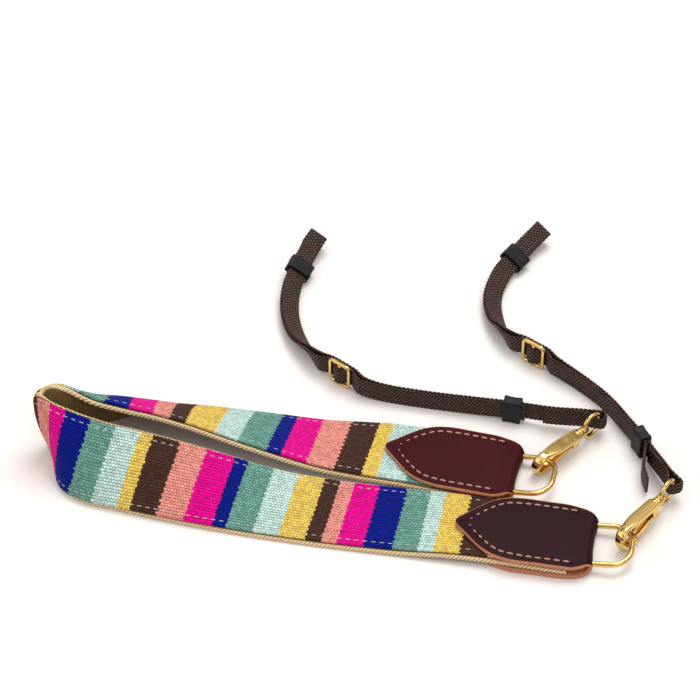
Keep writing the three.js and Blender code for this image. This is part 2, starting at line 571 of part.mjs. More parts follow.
// Tether: one webbing strip with its tail, eye loop and lug loop, as a run of stations
function tetherStations(name) {
  const rows = smoothRows(TETHERS[name], TETHER_STEP, ['roll', 'lift', 'spread']);
  const frames = rows.map((row) => {
    const t = row.tangent.clone().normalize();
    const level = new THREE.Vector3().crossVectors(up, t).normalize();
    const roll = radians(row.roll);
    const across = level.clone().multiplyScalar(Math.cos(roll)).addScaledVector(up, Math.sin(roll));
    const normal = level.clone().multiplyScalar(Math.sin(roll)).addScaledVector(up, -Math.cos(roll));
    const half = TETHER_WIDTH / 2;
    const rise = Math.max(0, row.lift) + half * Math.abs(across.z)
      + (row.spread + TETHER_WALL / 2) * Math.abs(normal.z);
    return { p: new THREE.Vector3(row.x, row.y, rise), t, across, normal, spread: row.spread,
      knot: row.knot };
  });
  const layer = (f, side) => ({
    p: f.p.clone().addScaledVector(f.normal, side * f.spread),
    across: f.across, normal: f.normal, width: TETHER_WIDTH,
  });
  // a teardrop: forward = length sin a, sideways = gap cos a + bulge sin a sin 2a
  const loop = (f, sign, loopSize) => {
    const stations = [];
    for (let k = 1; k < LOOP_STEPS; k++) {
      const a = Math.PI * k / LOOP_STEPS;
      const forward = loopSize.length * Math.sin(a);
      const sideOffset = f.spread * Math.cos(a) + loopSize.bulge * Math.sin(a) * Math.sin(2 * a);
      const dForward = loopSize.length * Math.cos(a);
      const dSide = -f.spread * Math.sin(a)
        + loopSize.bulge * (Math.cos(a) * Math.sin(2 * a) + 2 * Math.sin(a) * Math.cos(2 * a));
      const direction = f.t.clone().multiplyScalar(sign);
      const p = f.p.clone().addScaledVector(direction, forward)
        .addScaledVector(f.normal, sideOffset);
      const tangent = direction.clone().multiplyScalar(dForward)
        .addScaledVector(f.normal, dSide).normalize();
      const normal = new THREE.Vector3().crossVectors(f.across, tangent).normalize();
      const gather = Math.min(1, LOOP_GATHER * Math.sin(a) ** 2);
      const width = TETHER_WIDTH + (loopSize.width - TETHER_WIDTH) * gather;
      stations.push({ p, across: f.across, normal, width });
    }
    return stations;
  };
  const first = frames.findIndex((f) => f.knot >= KEEPER_ROWS.low);
  const keeper = frames[first];
  // the free tail leaves the low keeper on the eye's side
  const tail = TAILS[name].map((point) => {
    const p = keeper.p.clone()
      .addScaledVector(keeper.t, -point.forward)
      .addScaledVector(keeper.normal, point.side);
    return { p, normal: keeper.normal.clone() };
  }).reverse();
  tail.forEach((station, k) => {
    const next = tail[k + 1] ? tail[k + 1].p : layer(keeper, 1).p;
    const along = next.clone().sub(station.p).normalize();
    station.across = keeper.across;
    station.normal = new THREE.Vector3().crossVectors(keeper.across, along).normalize();
    station.width = TETHER_WIDTH;
    const droop = TAIL_DROOP * (tail.length - 1 - k);
    station.p.z = Math.max(station.p.z - droop, TETHER_WIDTH / 2);
  });
  const upward = frames.slice(first).map((f) => layer(f, 1));
  const lug = loop(frames[frames.length - 1], 1, LUG_LOOP);
  const downward = frames.slice().reverse().map((f) => layer(f, -1));
  const eye = loop(frames[0], -1, EYE_LOOP).reverse();
  let reach = 0;
  const back = [];
  for (let k = 0; k < frames.length && reach < RETURN_LENGTH[name]; k++) {
    back.push(layer(frames[k], 1));
    reach += frames[k].p.distanceTo(frames[k + 1].p);
  }
  return { frames, stations: [...tail, ...upward, ...lug, ...downward, ...eye, ...back] };
}

function ribbonGeometry(stations) {
  // the thickness direction keeps the same side of the strip all the way
  let side = stations[0].normal.clone();
  const outer = [];
  const inner = [];
  stations.forEach((station, k) => {
    const before = stations[Math.max(k - 1, 0)].p;
    const after = stations[Math.min(k + 1, stations.length - 1)].p;
    const along = after.clone().sub(before).normalize();
    const normal = new THREE.Vector3().crossVectors(station.across, along).normalize();
    if (k > 0 && normal.dot(side) < -0.5) normal.negate();
    side = normal;
    const half = station.width / 2;
    const line = (offset) => [-half, half].map((a) => station.p.clone()
      .addScaledVector(station.across, a)
      .addScaledVector(normal, offset));
    outer.push(line(TETHER_WALL / 2));
    inner.push(line(-TETHER_WALL / 2));
  });
  return wallGeometry(outer, inner);
}

// Frame for a piece that sits on a tether: X along it, Y through its layers, Z across
function poseOn(frame, object) {
  const x = frame.t.clone();
  const z = frame.across.clone();
  const y = new THREE.Vector3().crossVectors(z, x);
  const matrix = new THREE.Matrix4().makeBasis(x, y, z);
  object.quaternion.setFromRotationMatrix(matrix);
  object.position.copy(frame.p);
}

function keeperGeometry() {
  const openY = 2 * LAYER_OFFSET + TETHER_WALL + 3 * GAP;
  const openZ = TETHER_WIDTH + 3 * GAP;
  const box = (y, z, length) => toSolid(new THREE.BoxGeometry(length, y, z));
  return toGeometry(box(openY + 2 * KEEPER_WALL, openZ + 2 * KEEPER_WALL, KEEPER_LENGTH)
    .subtract(box(openY, openZ, KEEPER_LENGTH + 2 * OVERCUT)));
}

// Slider: a wire frame round the webbing's width, with its middle bar between the layers
function sliderGeometry() {
  const halfZ = TETHER_WIDTH / 2 + GAP + SLIDER_WIRE / 2;
  const halfX = SLIDER_HALF_LENGTH;
  const corner = SLIDER_CORNER;
  const outline = new THREE.Path();
  outline.moveTo(-halfX + corner, -halfZ);
  outline.lineTo(halfX - corner, -halfZ);
  outline.absarc(halfX - corner, -halfZ + corner, corner, -Math.PI / 2, 0, false);
  outline.lineTo(halfX, halfZ - corner);
  outline.absarc(halfX - corner, halfZ - corner, corner, 0, Math.PI / 2, false);
  outline.lineTo(-halfX + corner, halfZ);
  outline.absarc(-halfX + corner, halfZ - corner, corner, Math.PI / 2, Math.PI, false);
  outline.lineTo(-halfX, -halfZ + corner);
  outline.absarc(-halfX + corner, -halfZ + corner, corner, Math.PI, 1.5 * Math.PI, false);
  const frame = wireGeometry(outline, 32, SLIDER_WIRE).rotateX(Math.PI / 2);
  const bar = new THREE.CylinderGeometry(SLIDER_WIRE / 2, SLIDER_WIRE / 2, 2 * halfZ, 8);
  bar.rotateX(Math.PI / 2);
  return toGeometry(toSolid(frame).add(toSolid(bar)));
}

// Assembly
const strap = new THREE.Group();

function piece(name, geometry, material, parent = strap) {
  const mesh = new THREE.Mesh(geometry, material);
  mesh.name = name;
  parent.add(mesh);
  return mesh;
}

const band = bandGrids(smoothRows(BAND_SECTIONS, BAND_STEP, ['toward', 'lean', 'bulge', 'lift']));
piece('band_face', wallGeometry(...band.face), STRIPED_WEAVE);
piece('band_backing', wallGeometry(...band.backing), COTTON_WEBBING);

for (const [name, leather] of [['front', FRONT_LEATHER], ['back', BACK_LEATHER]]) {
  const tab = new THREE.Group();
  tab.position.set(TABS[name].x, TABS[name].y, 0);
  tab.rotation.z = radians(TABS[name].angle);
  strap.add(tab);
  piece(`tab_${name}`, tabGeometry(), leather, tab);
  const ring = piece(`ring_${name}`, ringGeometry(), BRASS, tab);
  ring.position.set(RING_BAR_X, 0, LEATHER_WALL + TAB_POCKET / 2);
  ring.rotation.y = -radians(TABS[name].ringTilt);

  const { frames, stations } = tetherStations(name);
  const place = HOOKS[name];
  const direction = radians(place.angle);
  const toCollar = EYE_RADIUS + EYE_TO_COLLAR;
  const wire = frames[0].p.clone().addScaledVector(frames[0].t, -EYE_WIRE_FORWARD);
  const hook = new THREE.Group();
  hook.position.set(
    wire.x + toCollar * Math.cos(direction),
    wire.y + toCollar * Math.sin(direction),
    place.height);
  hook.rotation.set(0, 0, direction);
  strap.add(hook);
  piece(`hook_eye_${name}`, eyeGeometry(), BRASS, hook);
  const rolled = new THREE.Group();
  rolled.rotation.x = radians(place.roll);
  hook.add(rolled);
  piece(`hook_body_${name}`, hookBodyGeometry(), BRASS, rolled);
  const gate = piece(`hook_gate_${name}`, gateGeometry(), BRASS, rolled);
  gate.position.set(GATE_PIVOT_X, 0, GATE_PIVOT_Z);

  piece(`tether_${name}`, ribbonGeometry(stations), BROWN_WEBBING);
  for (const [end, row] of Object.entries(KEEPER_ROWS)) {
    const keeper = piece(`keeper_${name}_${end}`, keeperGeometry(), BLACK_KEEPER);
    poseOn(frames.find((f) => f.knot >= row), keeper);
  }
  poseOn(frames.find((f) => f.knot >= SLIDER_ROW), piece(`slider_${name}`, sliderGeometry(), BRASS));
}

strap.position.set(-CENTRE_X, -CENTRE_Y, 0);

export default strap;
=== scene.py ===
"""Looks of a coiled camera strap: a striped woven band on cotton webbing, leather end tabs
with brass rings, swivel snap hooks, and narrow webbing tethers with sliders and keepers.

Lengths in the tables and functions are millimetres in the frame of the route tables; a
mesh is moved by the footprint's middle and scaled to metres when it is made.
"""

import bpy
import numpy as np
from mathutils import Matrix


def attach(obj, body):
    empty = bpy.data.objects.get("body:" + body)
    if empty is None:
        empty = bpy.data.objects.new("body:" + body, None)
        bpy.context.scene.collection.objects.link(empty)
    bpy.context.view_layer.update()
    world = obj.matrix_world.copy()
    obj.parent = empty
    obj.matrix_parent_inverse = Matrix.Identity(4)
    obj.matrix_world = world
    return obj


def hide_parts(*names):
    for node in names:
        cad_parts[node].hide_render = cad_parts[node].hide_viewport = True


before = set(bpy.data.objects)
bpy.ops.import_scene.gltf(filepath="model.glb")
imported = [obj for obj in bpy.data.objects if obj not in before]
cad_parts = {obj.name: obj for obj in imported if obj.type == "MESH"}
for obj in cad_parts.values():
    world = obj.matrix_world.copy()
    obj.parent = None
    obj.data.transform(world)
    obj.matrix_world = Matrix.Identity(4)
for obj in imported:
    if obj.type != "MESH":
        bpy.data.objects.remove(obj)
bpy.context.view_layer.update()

MM = 0.001
MIDDLE = np.array([3.2, -33.1, 0.0])     # middle of the footprint in the tables' frame
UP = np.array([0.0, 0.0, 1.0])

# Sizes of the pieces
GAP = 0.3
FACE_WIDTH, FACE_WALL = 38.0, 1.2
BACKING_WIDTH, BACKING_WALL = 40.0, 2.0
LEATHER_WALL, TAB_LENGTH, TAB_HALF = 2.1, 65.5, 20.4
TAB_POCKET = FACE_WALL + BACKING_WALL + 3 * GAP
DIP_X, DIP_REACH, DIP_DEPTH = 56.0, 4.0, 0.5   # in the leather between band and ring bar
TAB_CROWN, STITCH_GROOVE, STITCH_INSET, FOLD_PULL = 0.35, 0.3, 3.9, 1.0
RING_WIRE, RING_BAR_X, RING_END_X, RING_HALF = 2.7, 61.0, 82.2, 12.3
RING_END_RADIUS, RING_BAR_RADIUS = 9.5, 3.5
HOOK_LENGTH, HOOK_WIDTH, HOOK_WALL = 33.0, 6.4, 2.4
BOW_WIDTH, BOW_RADIUS, BOW_DROP, BOW_LEG_END = 5.0, 5.05, 1.9, 20.0
GATE_PIVOT = np.array([6.2, 0.0, -3.0])
GATE_END_X = 20.9
EYE_RADIUS, EYE_WIRE, EYE_TO_COLLAR = 6.15, 2.2, 7.6
TETHER_WIDTH, TETHER_WALL, LAYER_OFFSET = 10.0, 1.3, 0.8
SLIDER_WIRE, SLIDER_HALF_LENGTH, SLIDER_CORNER = 2.0, 6.0, 1.6
KEEPER_LENGTH, KEEPER_WALL = 9.0, 1.3
THREAD_CLEAR = SLIDER_WIRE / 2 + TETHER_WALL / 2 + GAP   # webbing's middle to a bar's middle
THREAD_EASE = 8.0
EDGE_SHARE = 0.45                     # depth of a strip's rounded edge, of its thickness
BAR_START = (2.2, 1.0)                # middle of the hook bar's wall at the collar
TAIL_DROOP = 0.12                     # sinking of the free tail from one point to the next
LOOP_GATHER = 2.4                     # how soon the webbing gathers to a loop's own width

# Threads: steps of the woven edges, twist of the backing's edge, and stitches
FACE_STEP, FACE_STEP_PITCH = 0.16, 2.8
TETHER_STEP, TETHER_STEP_PITCH = 0.24, 2.2
TWIST_PITCH, TWIST_SWELL, TWIST_SINK, TWIST_LIFT = 1.9, 0.5, 0.1, 0.25
TOPSTITCH = {"inset": 2.9, "start": 46.0, "pitch": 4.0, "length": 2.4, "width": 0.42}
TAB_STITCH = {"start": 2.2, "pitch": 4.3, "length": 3.2, "width": 1.1}
# Dark marks of painted shadow in each pricked hole beyond the stitches
TAB_HOLE = {"ahead": 2.15, "sunk": 0.06, "length": 1.3, "width": 1.15}
PLEAT_HEIGHT, PLEATS_PER_HALF = 0.54, 1.5

# The band's sections from the front tab round the fold to the back tab: the outer lower
# edge, the compass angle to the raised edge, the lean, the bulge and the lift
BAND_COLUMNS = ("x", "y", "toward", "lean", "bulge", "lift")
BAND_SECTIONS = (
    (98.9, -155.1, 79.3, 0, 0, 2.4),
    (49.7, -145.8, 79.3, 0, 0, 2.4),
    (20, -141.5, 78, 3, 0, 0.6),
    (-14, -136, 76, 4, 0, 0),
    (-46, -130, 75, 8, 0.5, 0),
    (-78, -123, 73, 21, 1, 0),
    (-110, -114.3, 70, 34, 1.5, 0),
    (-127, -109, 73, 42, 1.5, 0),
    (-136.6, -101.8, 77, 52.5, 2.5, 0),
    (-141.1, -91, 100, 66.5, 2, 0),
    (-141.5, -80, 142, 72.5, -4, 0),
    (-139.6, -70, 168, 75, -4.5, 0),
    (-135, -61, 203, 74, -3, 0),
    (-127, -53.8, 235, 68.5, 2, 0),
    (-115, -48.2, 255, 54, 5.2, 0),
    (-102, -44.6, 265, 43, 4.8, 0),
    (-78, -43.5, 263, 32, 2.5, 0),
    (-46, -48.5, 259, 21, 1, 0),
    (-12, -54.5, 257, 10, 0, 0),
    (10, -57.5, 256, 3, 0, 1.2),
    (26, -60.4, 255.4, 0, 0, 2.4),
    (74.3, -72.8, 255.4, 0, 0, 2.4),
)

# Weft colours in the order that they follow each other, and each stripe's width in mm from
# the front tab's end of the band to the back tab's
WEFT_COLOURS = ("#001A92", "#FF009F", "#FFA294", "#4F352A", "#FFDA68", "#D2F4EC", "#74AD9E")
STRIPE_WIDTHS = (
    11.2, 12.5, 13, 13, 11.9, 6.9, 11.8,
    13.3, 12.4, 6.9, 7.5, 12.6, 12.3, 12.9,
    6.2, 14, 13.1, 13.3, 6, 12.4, 12.3,
    12, 7.8, 9.7, 11.5, 17, 7, 10,
    10, 11.8, 8.7, 8.2, 15.7, 11.8, 14.3,
    7, 12.9, 13.7, 13.6, 6.9, 14.4, 13,
    13, 20,
)

# Skew of the weft at the fold: the place along the band, and how many mm further along a
# border meets the lower edge than the upper one
WEFT_SKEW = ((208, 0), (222, 2.3), (235, 4), (247, 6), (256, 11), (266, 8), (280, 2), (290, 0))

# Tabs: the tip, the compass angle from the tip to the ring, and the ring's lean
TABS = {
    "front": {"tip": (49.2, -127.2, 0.0), "angle": -10.7, "ring_tilt": 5.8},
    "back": {"tip": (17.3, -77.2, 0.0), "angle": -14.6, "ring_tilt": 7.5},
}
# Stitch line of a tab from its tip: distance along and half distance across
TAB_STITCHES = ((5.6, 0.4), (11.1, 7.0), (21.5, 15.0), (32.0, 16.6), (46.0, 16.6), (56.5, 16.4))

# Hooks: compass angle from eye to bow, height of the swivel axis, roll about it
HOOKS = {
    "front": {"angle": 231.0, "height": 8.9, "roll": 12.0},
    "back": {"angle": 224.0, "height": 8.8, "roll": -8.0},
}

# Tether routes from the snap eye to the lug loop
TETHER_COLUMNS = ("x", "y", "roll", "lift", "spread")
TETHERS = {
    "front": (
        (150.1, -98.4, 90, 3.9, 0.8),
        (145.2, -86, 90, 2.8, 0.8),
        (140.4, -73.5, 90, 1.8, 0.8),
        (134.4, -60, 90, 0.8, 0.8),
        (127.5, -46, 90, 0, 0.8),
        (118.5, -34, 90, 0, 0.8),
        (106.5, -22.5, 90, 1.2, 1.1),
        (97.6, -15.6, 90, 2.4, 2.2),
        (92, -10.8, 90, 2.4, 2.2),
        (86.4, -6, 90, 2.4, 2.2),
        (79, 5, 68, 1, 1.1),
        (74.5, 20, 34, 0, 0.8),
        (74, 37, 30, 0, 0.8),
        (79.5, 54, 30, 1.3, 0.8),
        (87, 65.5, 30, 2.5, 0.8),
        (95, 77, 30, 3.5, 0.8),
    ),
    "back": (
        (114.3, -59, 90, 3.8, 0.8),
        (98, -56.2, 90, 2.8, 0.8),
        (79.5, -51.2, 90, 1.8, 0.8),
        (60, -46.5, 90, 0.5, 0.8),
        (40, -42.5, 90, 0, 0.8),
        (22, -38.5, 90, 0, 0.8),
        (9, -35, 90, 1.2, 1.1),
        (0.5, -30.4, 90, 2.4, 2.2),
        (-5.2, -25.5, 90, 2.4, 2.2),
        (-11, -20.6, 90, 2.4, 2.2),
        (-19, -9.5, 68, 1, 1.1),
        (-27, 6, 34, 0, 0.8),
        (-31, 24, 30, 0, 0.8),
        (-30.5, 42, 30, 1.3, 0.8),
        (-26.5, 57, 30, 2.5, 0.8),
        (-22, 70, 30, 3.5, 0.8),
    ),
}
KEEPER_KNOTS = {"low": 2.0, "high": 14.0}
SLIDER_KNOT = 8.0
LUG_LOOP = {"length": 13.0, "bulge": 4.4, "width": 10.0}
EYE_LOOP = {"length": 10.0, "bulge": 3.9, "width": 6.0}
EYE_WIRE_FORWARD = 7.2
RETURN_LENGTH = {"front": 15.0, "back": 19.0}
# Free tail beyond the low keeper: forward of it and sideways, end first
TAILS = {
    "front": ((27.0, 11.0), (19.0, 8.8), (13.0, 5.6), (8.6, 2.3), (5.4, 0.85)),
    "back": ((6.4, 0.8), (5.4, 0.8)),
}


# Curves

def spans(knots, step):
    """Places along a run of knots, counted in knots, about step mm apart."""
    lengths = np.linalg.norm(np.diff(knots, axis=0), axis=1)
    cells = np.maximum(1, np.round(lengths / step)).astype(int)
    parts = [i + np.arange(n) / n for i, n in enumerate(cells)]
    return np.concatenate(parts + [[len(knots) - 1.0]])


def through(knots, t):
    """Centripetal Catmull-Rom curve: a cubic between neighbours whose end slopes come from
    the knots on both sides, weighted by the square roots of their distances."""
    k = np.vstack([2 * knots[0] - knots[1], knots, 2 * knots[-1] - knots[-2]])
    i = np.clip(np.floor(t).astype(int), 0, len(knots) - 2)
    w = (t - i)[:, None]
    p = [k[i + n] for n in range(4)]
    d = [np.linalg.norm(p[n + 1] - p[n], axis=1)[:, None] ** 0.5 + 1e-9 for n in range(3)]
    a = ((p[1] - p[0]) / d[0] - (p[2] - p[0]) / (d[0] + d[1]) + (p[2] - p[1]) / d[1]) * d[1]
    b = ((p[2] - p[1]) / d[1] - (p[3] - p[1]) / (d[1] + d[2]) + (p[3] - p[2]) / d[2]) * d[1]
    c = -3 * p[1] + 3 * p[2] - 2 * a - b
    return p[1] + a * w + c * w ** 2 + (2 * p[1] - 2 * p[2] + a + b) * w ** 3


def carried(values, t):
    """A table column along the same places: a cubic with slopes of half the difference of
    the two neighbours, the end rows doubled."""
    v = np.concatenate([values[:1], values, values[-1:]])
    i = np.clip(np.floor(t).astype(int), 0, len(values) - 2)
    w = t - i
    p = [v[i + n] for n in range(4)]
    a, b = (p[2] - p[0]) / 2, (p[3] - p[1]) / 2
    c = -3 * p[1] + 3 * p[2] - 2 * a - b
    return p[1] + a * w + c * w ** 2 + (2 * p[1] - 2 * p[2] + a + b) * w ** 3


def lengths_along(points):
    """Distance travelled along a line of points."""
    steps = np.linalg.norm(np.diff(points, axis=0), axis=1)
    return np.concatenate([[0.0], np.cumsum(steps)])


def resampled(values, s, t):
    """Columns of values known at the lengths s, read at the lengths t."""
    return np.stack([np.interp(t, s, column) for column in values.T], -1)


def unit(vectors):
    return vectors / np.maximum(np.linalg.norm(vectors, axis=-1, keepdims=True), 1e-12)


# Meshes: a part is its points, its faces (rows of equal length) with a UV for each corner,
# and a material number for each face

def grid_part(points, u, v, wrap=False, finish=None):
    """Points (rows, columns, 3) joined to their neighbours; wrap joins the last column to
    the first. u has a value for each row and v one for each column, one more if wrapped."""
    rows, columns = points.shape[:2]
    i, j = np.meshgrid(np.arange(rows - 1), np.arange(columns if wrap else columns - 1),
                       indexing="ij")
    far = (j + 1) % columns
    faces = np.stack([i * columns + j, (i + 1) * columns + j,
                      (i + 1) * columns + far, i * columns + far], -1).reshape(-1, 4)
    uv = np.stack([np.stack([u[i], v[j]], -1), np.stack([u[i + 1], v[j]], -1),
                   np.stack([u[i + 1], v[j + 1]], -1), np.stack([u[i], v[j + 1]], -1)], -2)
    numbers = np.zeros(faces.shape[0], int)
    if finish is not None:
        numbers = np.asarray(finish, int)[j].reshape(-1)
    return {"points": points.reshape(-1, 3), "faces": [faces], "uv": [uv.reshape(-1, 4, 2)],
            "finish": [numbers]}


def loft(rings, u=None, v=None, finish=None, end_finish=0, caps=True):
    """Closed sections (rows, columns, 3) joined one to the next, each end closed by a fan of
    triangles round its middle. Faces are turned so that the volume inside is positive."""
    rows, columns = rings.shape[:2]
    if u is None:
        u = lengths_along(rings.mean(axis=1))
    if v is None:
        closed = np.concatenate([rings[rows // 2], rings[rows // 2][:1]])
        v = lengths_along(closed)
    part = grid_part(rings, u, v, wrap=True, finish=finish)
    if caps:
        middles = np.stack([rings[0].mean(axis=0), rings[-1].mean(axis=0)])
        part["points"] = np.vstack([part["points"], middles])
        j = np.arange(columns)
        far = (j + 1) % columns
        count = rows * columns
        first = np.stack([np.full(columns, count), j, far], -1)
        last = np.stack([np.full(columns, count + 1), (rows - 1) * columns + far,
                         (rows - 1) * columns + j], -1)
        fans = np.vstack([first, last])
        fan_u = np.repeat([u[0], u[-1]], columns)[:, None] + np.zeros(3)
        fan_v = np.tile(np.stack([(v[j] + v[j + 1]) / 2, v[j], v[j + 1]], -1), (2, 1))
        part["faces"].append(fans)
        part["uv"].append(np.stack([fan_u, fan_v], -1))
        part["finish"].append(np.full(len(fans), end_finish))
    return outward(part)


def ring_loft(rings, u=None, v=None):
    """Closed sections joined all the way round, the last to the first."""
    closed = np.concatenate([rings, rings[:1]])
    if u is None:
        u = lengths_along(closed.mean(axis=1))
    if v is None:
        v = lengths_along(np.concatenate([rings[0], rings[0][:1]]))
    part = grid_part(closed, u, v, wrap=True)
    rows, columns = rings.shape[:2]
    part["faces"] = [np.where(f >= rows * columns, f - rows * columns, f)
                     for f in part["faces"]]
    part["points"] = rings.reshape(-1, 3)
    return outward(part)


def outward(part):
    """Turns every face round where the signed volume, summed as det(a, b, c) / 6 over the
    triangles, is negative."""
    volume = 0.0
    for faces in part["faces"]:
        a = part["points"][faces[:, 0]]
        for n in range(1, faces.shape[1] - 1):
            b, c = part["points"][faces[:, n]], part["points"][faces[:, n + 1]]
            volume += np.einsum("ij,ij->i", a, np.cross(b, c)).sum() / 6
    if volume < 0:
        part["faces"] = [f[:, ::-1] for f in part["faces"]]
        part["uv"] = [t[:, ::-1] for t in part["uv"]]
    return part


def placed(part, turn, place):
    """The part turned by a matrix whose columns are its axes, then moved."""
    return dict(part, points=part["points"] @ np.asarray(turn).T + np.asarray(place))


def joined(parts, numbers=None):
    """Several parts as one; numbers gives each part a material number of its own."""
    offset, out = 0, {"points": [], "faces": [], "uv": [], "finish": []}
    for n, part in enumerate(parts):
        out["points"].append(part["points"])
        out["faces"] += [f + offset for f in part["faces"]]
        out["uv"] += part["uv"]
        out["finish"] += [f if numbers is None else np.full(len(f), numbers[n])
                          for f in part["finish"]]
        offset += len(part["points"])
    out["points"] = np.vstack(out["points"])
    return out


def make_piece(name, part, materials, body, replaces=()):
    """A mesh object in metres from a part in millimetres, on its body, hiding the CAD parts
    that it replaces.
    """
    mesh = bpy.data.meshes.new(name)
    points = (part["points"] - MIDDLE) * MM
    loops = np.concatenate([f.ravel() for f in part["faces"]])
    sizes = np.concatenate([np.full(len(f), f.shape[1]) for f in part["faces"]])
    mesh.vertices.add(len(points))
    mesh.vertices.foreach_set("co", points.astype(np.float32).ravel())
    mesh.loops.add(len(loops))
    mesh.loops.foreach_set("vertex_index", loops.astype(np.int32))
    mesh.polygons.add(len(sizes))
    starts = np.concatenate([[0], np.cumsum(sizes)[:-1]])
    mesh.polygons.foreach_set("loop_start", starts.astype(np.int32))
    mesh.polygons.foreach_set("material_index",
                              np.concatenate(part["finish"]).astype(np.int32))
    mesh.polygons.foreach_set("use_smooth", np.ones(len(sizes), bool))
    layer = mesh.uv_layers.new(name="cloth_mm")
    uv = np.concatenate([t.reshape(-1, 2) for t in part["uv"]])
    layer.data.foreach_set("uv", uv.astype(np.float32).ravel())
    if "stripe" in part:
        attribute = mesh.attributes.new("stripe", "FLOAT", "POINT")
        attribute.data.foreach_set("value", part["stripe"].astype(np.float32))
    mesh.update(calc_edges=True)
    for material in materials:
        mesh.materials.append(material)
    piece = bpy.data.objects.new(name, mesh)
    bpy.context.scene.collection.objects.link(piece)
    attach(piece, body)
    if replaces:
        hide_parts(*replaces)
    return piece


# Sections

def flat_section(width, low, high, columns, edge_points=4):
    """Closed outline of a strip across its length: flat from -width/2 to width/2 at low and
    high, the edges half ellipses as deep as EDGE_SHARE of the thickness. Returns across and
    depth of each point and which points lie on the edges."""
    deep = EDGE_SHARE * (high - low)
    reach = width / 2 - deep
    flat = np.linspace(-reach, reach, columns)
    a = np.linspace(-np.pi / 2, np.pi / 2, edge_points + 2)[1:-1]
    middle, half = (low + high) / 2, (high - low) / 2
    across = np.concatenate([flat, reach + deep * np.cos(a), flat[::-1],
                             -reach - deep * np.cos(a)])
    depth = np.concatenate([np.full(columns, low), middle + half * np.sin(a),
                            np.full(columns, high), middle - half * np.sin(a)])
    on_edge = np.concatenate([np.zeros(columns), np.ones(edge_points),
                              np.zeros(columns), np.ones(edge_points)])
    return across, depth, on_edge


def rounded_section(width, wall, power, count=28):
    """Superellipse |x/a|^n + |y/b|^n = 1 for arrays of widths, walls and powers n: nearly a
    rectangle for a large n and round for 2. Returns (rows, count) across and depth."""
    a = np.linspace(0, 2 * np.pi, count, endpoint=False)[None, :]
    c, s = np.cos(a), np.sin(a)
    n = 2 / np.asarray(power, float)[:, None]
    across = np.asarray(width)[:, None] / 2 * np.sign(c) * np.abs(c) ** n
    depth = np.asarray(wall)[:, None] / 2 * np.sign(s) * np.abs(s) ** n
    return across, depth


# Band

def table(rows, columns):
    values = np.array(rows, float)
    return {name: values[:, n] for n, name in enumerate(columns)}


def band_rows(step):
    rows = table(BAND_SECTIONS, BAND_COLUMNS)
    knots = np.stack([rows["x"], rows["y"], np.zeros(len(rows["x"]))], -1)
    t = spans(knots, step)
    out = {name: carried(rows[name], t) for name in BAND_COLUMNS[2:]}
    out["edge"] = through(knots, t)
    out["toward"], out["lean"] = np.radians(out["toward"]), np.radians(out["lean"])
    return out


def band_points(rows, across, depth):
    """Points of the band at a distance across from its middle and a depth below its face:
    edge + along * chord * u + outward * 4 * bulge * u * (1 - u) + normal * depth, where the
    chord is shorter than the cloth by what the bulge takes up."""
    u = (0.5 + across / FACE_WIDTH)[..., None]
    chord = (FACE_WIDTH * (1 - (8 / 3) * (rows["bulge"] / FACE_WIDTH) ** 2))[:, None, None]
    bulge = rows["bulge"][:, None, None]
    ct, st = np.cos(rows["toward"]), np.sin(rows["toward"])
    cl, sl = np.cos(rows["lean"]), np.sin(rows["lean"])
    along = np.stack([ct * cl, st * cl, sl], -1)[:, None]
    out = np.stack([-ct * sl, -st * sl, cl], -1)[:, None]
    points = rows["edge"][:, None] + along * chord * u + out * bulge * 4 * u * (1 - u)
    slope = along * chord + out * bulge * 4 * (1 - 2 * u)
    normal = unit(np.cross(np.gradient(points, axis=0), slope))
    return points + normal * depth[..., None]


def band_drop(rows):
    """How far each section comes down until its lowest corner meets what it lies on."""
    corners = np.array([-1, -0.5, 0, 0.5, 1]) * BACKING_WIDTH / 2
    lowest = np.inf
    for depth in (FACE_WALL + GAP, FACE_WALL + GAP + BACKING_WALL):
        z = band_points(rows, corners[None, :], np.full((1, 5), depth))[..., 2]
        lowest = np.minimum(lowest, z.min(axis=1))
    face = band_points(rows, np.array([[-1, 1]]) * FACE_WIDTH / 2, np.zeros((1, 2)))[..., 2]
    lowest = np.minimum(lowest, face.min(axis=1))
    return np.maximum(0, rows["lift"]) - lowest


def band_line(rows, across, depth=0.0):
    """The line along the band at one distance across and one depth."""
    return band_points(rows, np.full((1, 1), across), np.full((1, 1), depth))[:, 0]


def strip_uv(across, depth):
    """Distance travelled round a closed section, with the first point again at the end."""
    closed = np.stack([across, depth], -1)
    return lengths_along(np.concatenate([closed, closed[:1]]))


def woven_face():
    """The striped face: a strip whose edges step in and out by the thickness of one pick."""
    rows = band_rows(1.0)
    drop = band_drop(rows)
    across, depth, on_edge = flat_section(FACE_WIDTH, 0.0, FACE_WALL, 30)
    s = lengths_along(band_line(rows, 0.0))
    step = FACE_STEP * np.sin(2 * np.pi * s / FACE_STEP_PITCH)[:, None]
    step = step * on_edge * np.sign(across)
    rings = band_points(rows, across[None, :] + step, np.broadcast_to(depth, step.shape))
    rings[..., 2] += drop[:, None]
    part = loft(rings, u=s, v=strip_uv(across, depth))
    borders = np.concatenate([[0.0], np.cumsum(STRIPE_WIDTHS)])
    skew = np.interp(s, *np.array(WEFT_SKEW, float).T)
    woven_at = s[:, None] + skew[:, None] * across / FACE_WIDTH
    stripe = np.interp(woven_at, borders, np.arange(len(borders)))
    part["stripe"] = np.concatenate([stripe.ravel(), stripe[[0, -1]].mean(axis=1)])
    return part, s[-1]


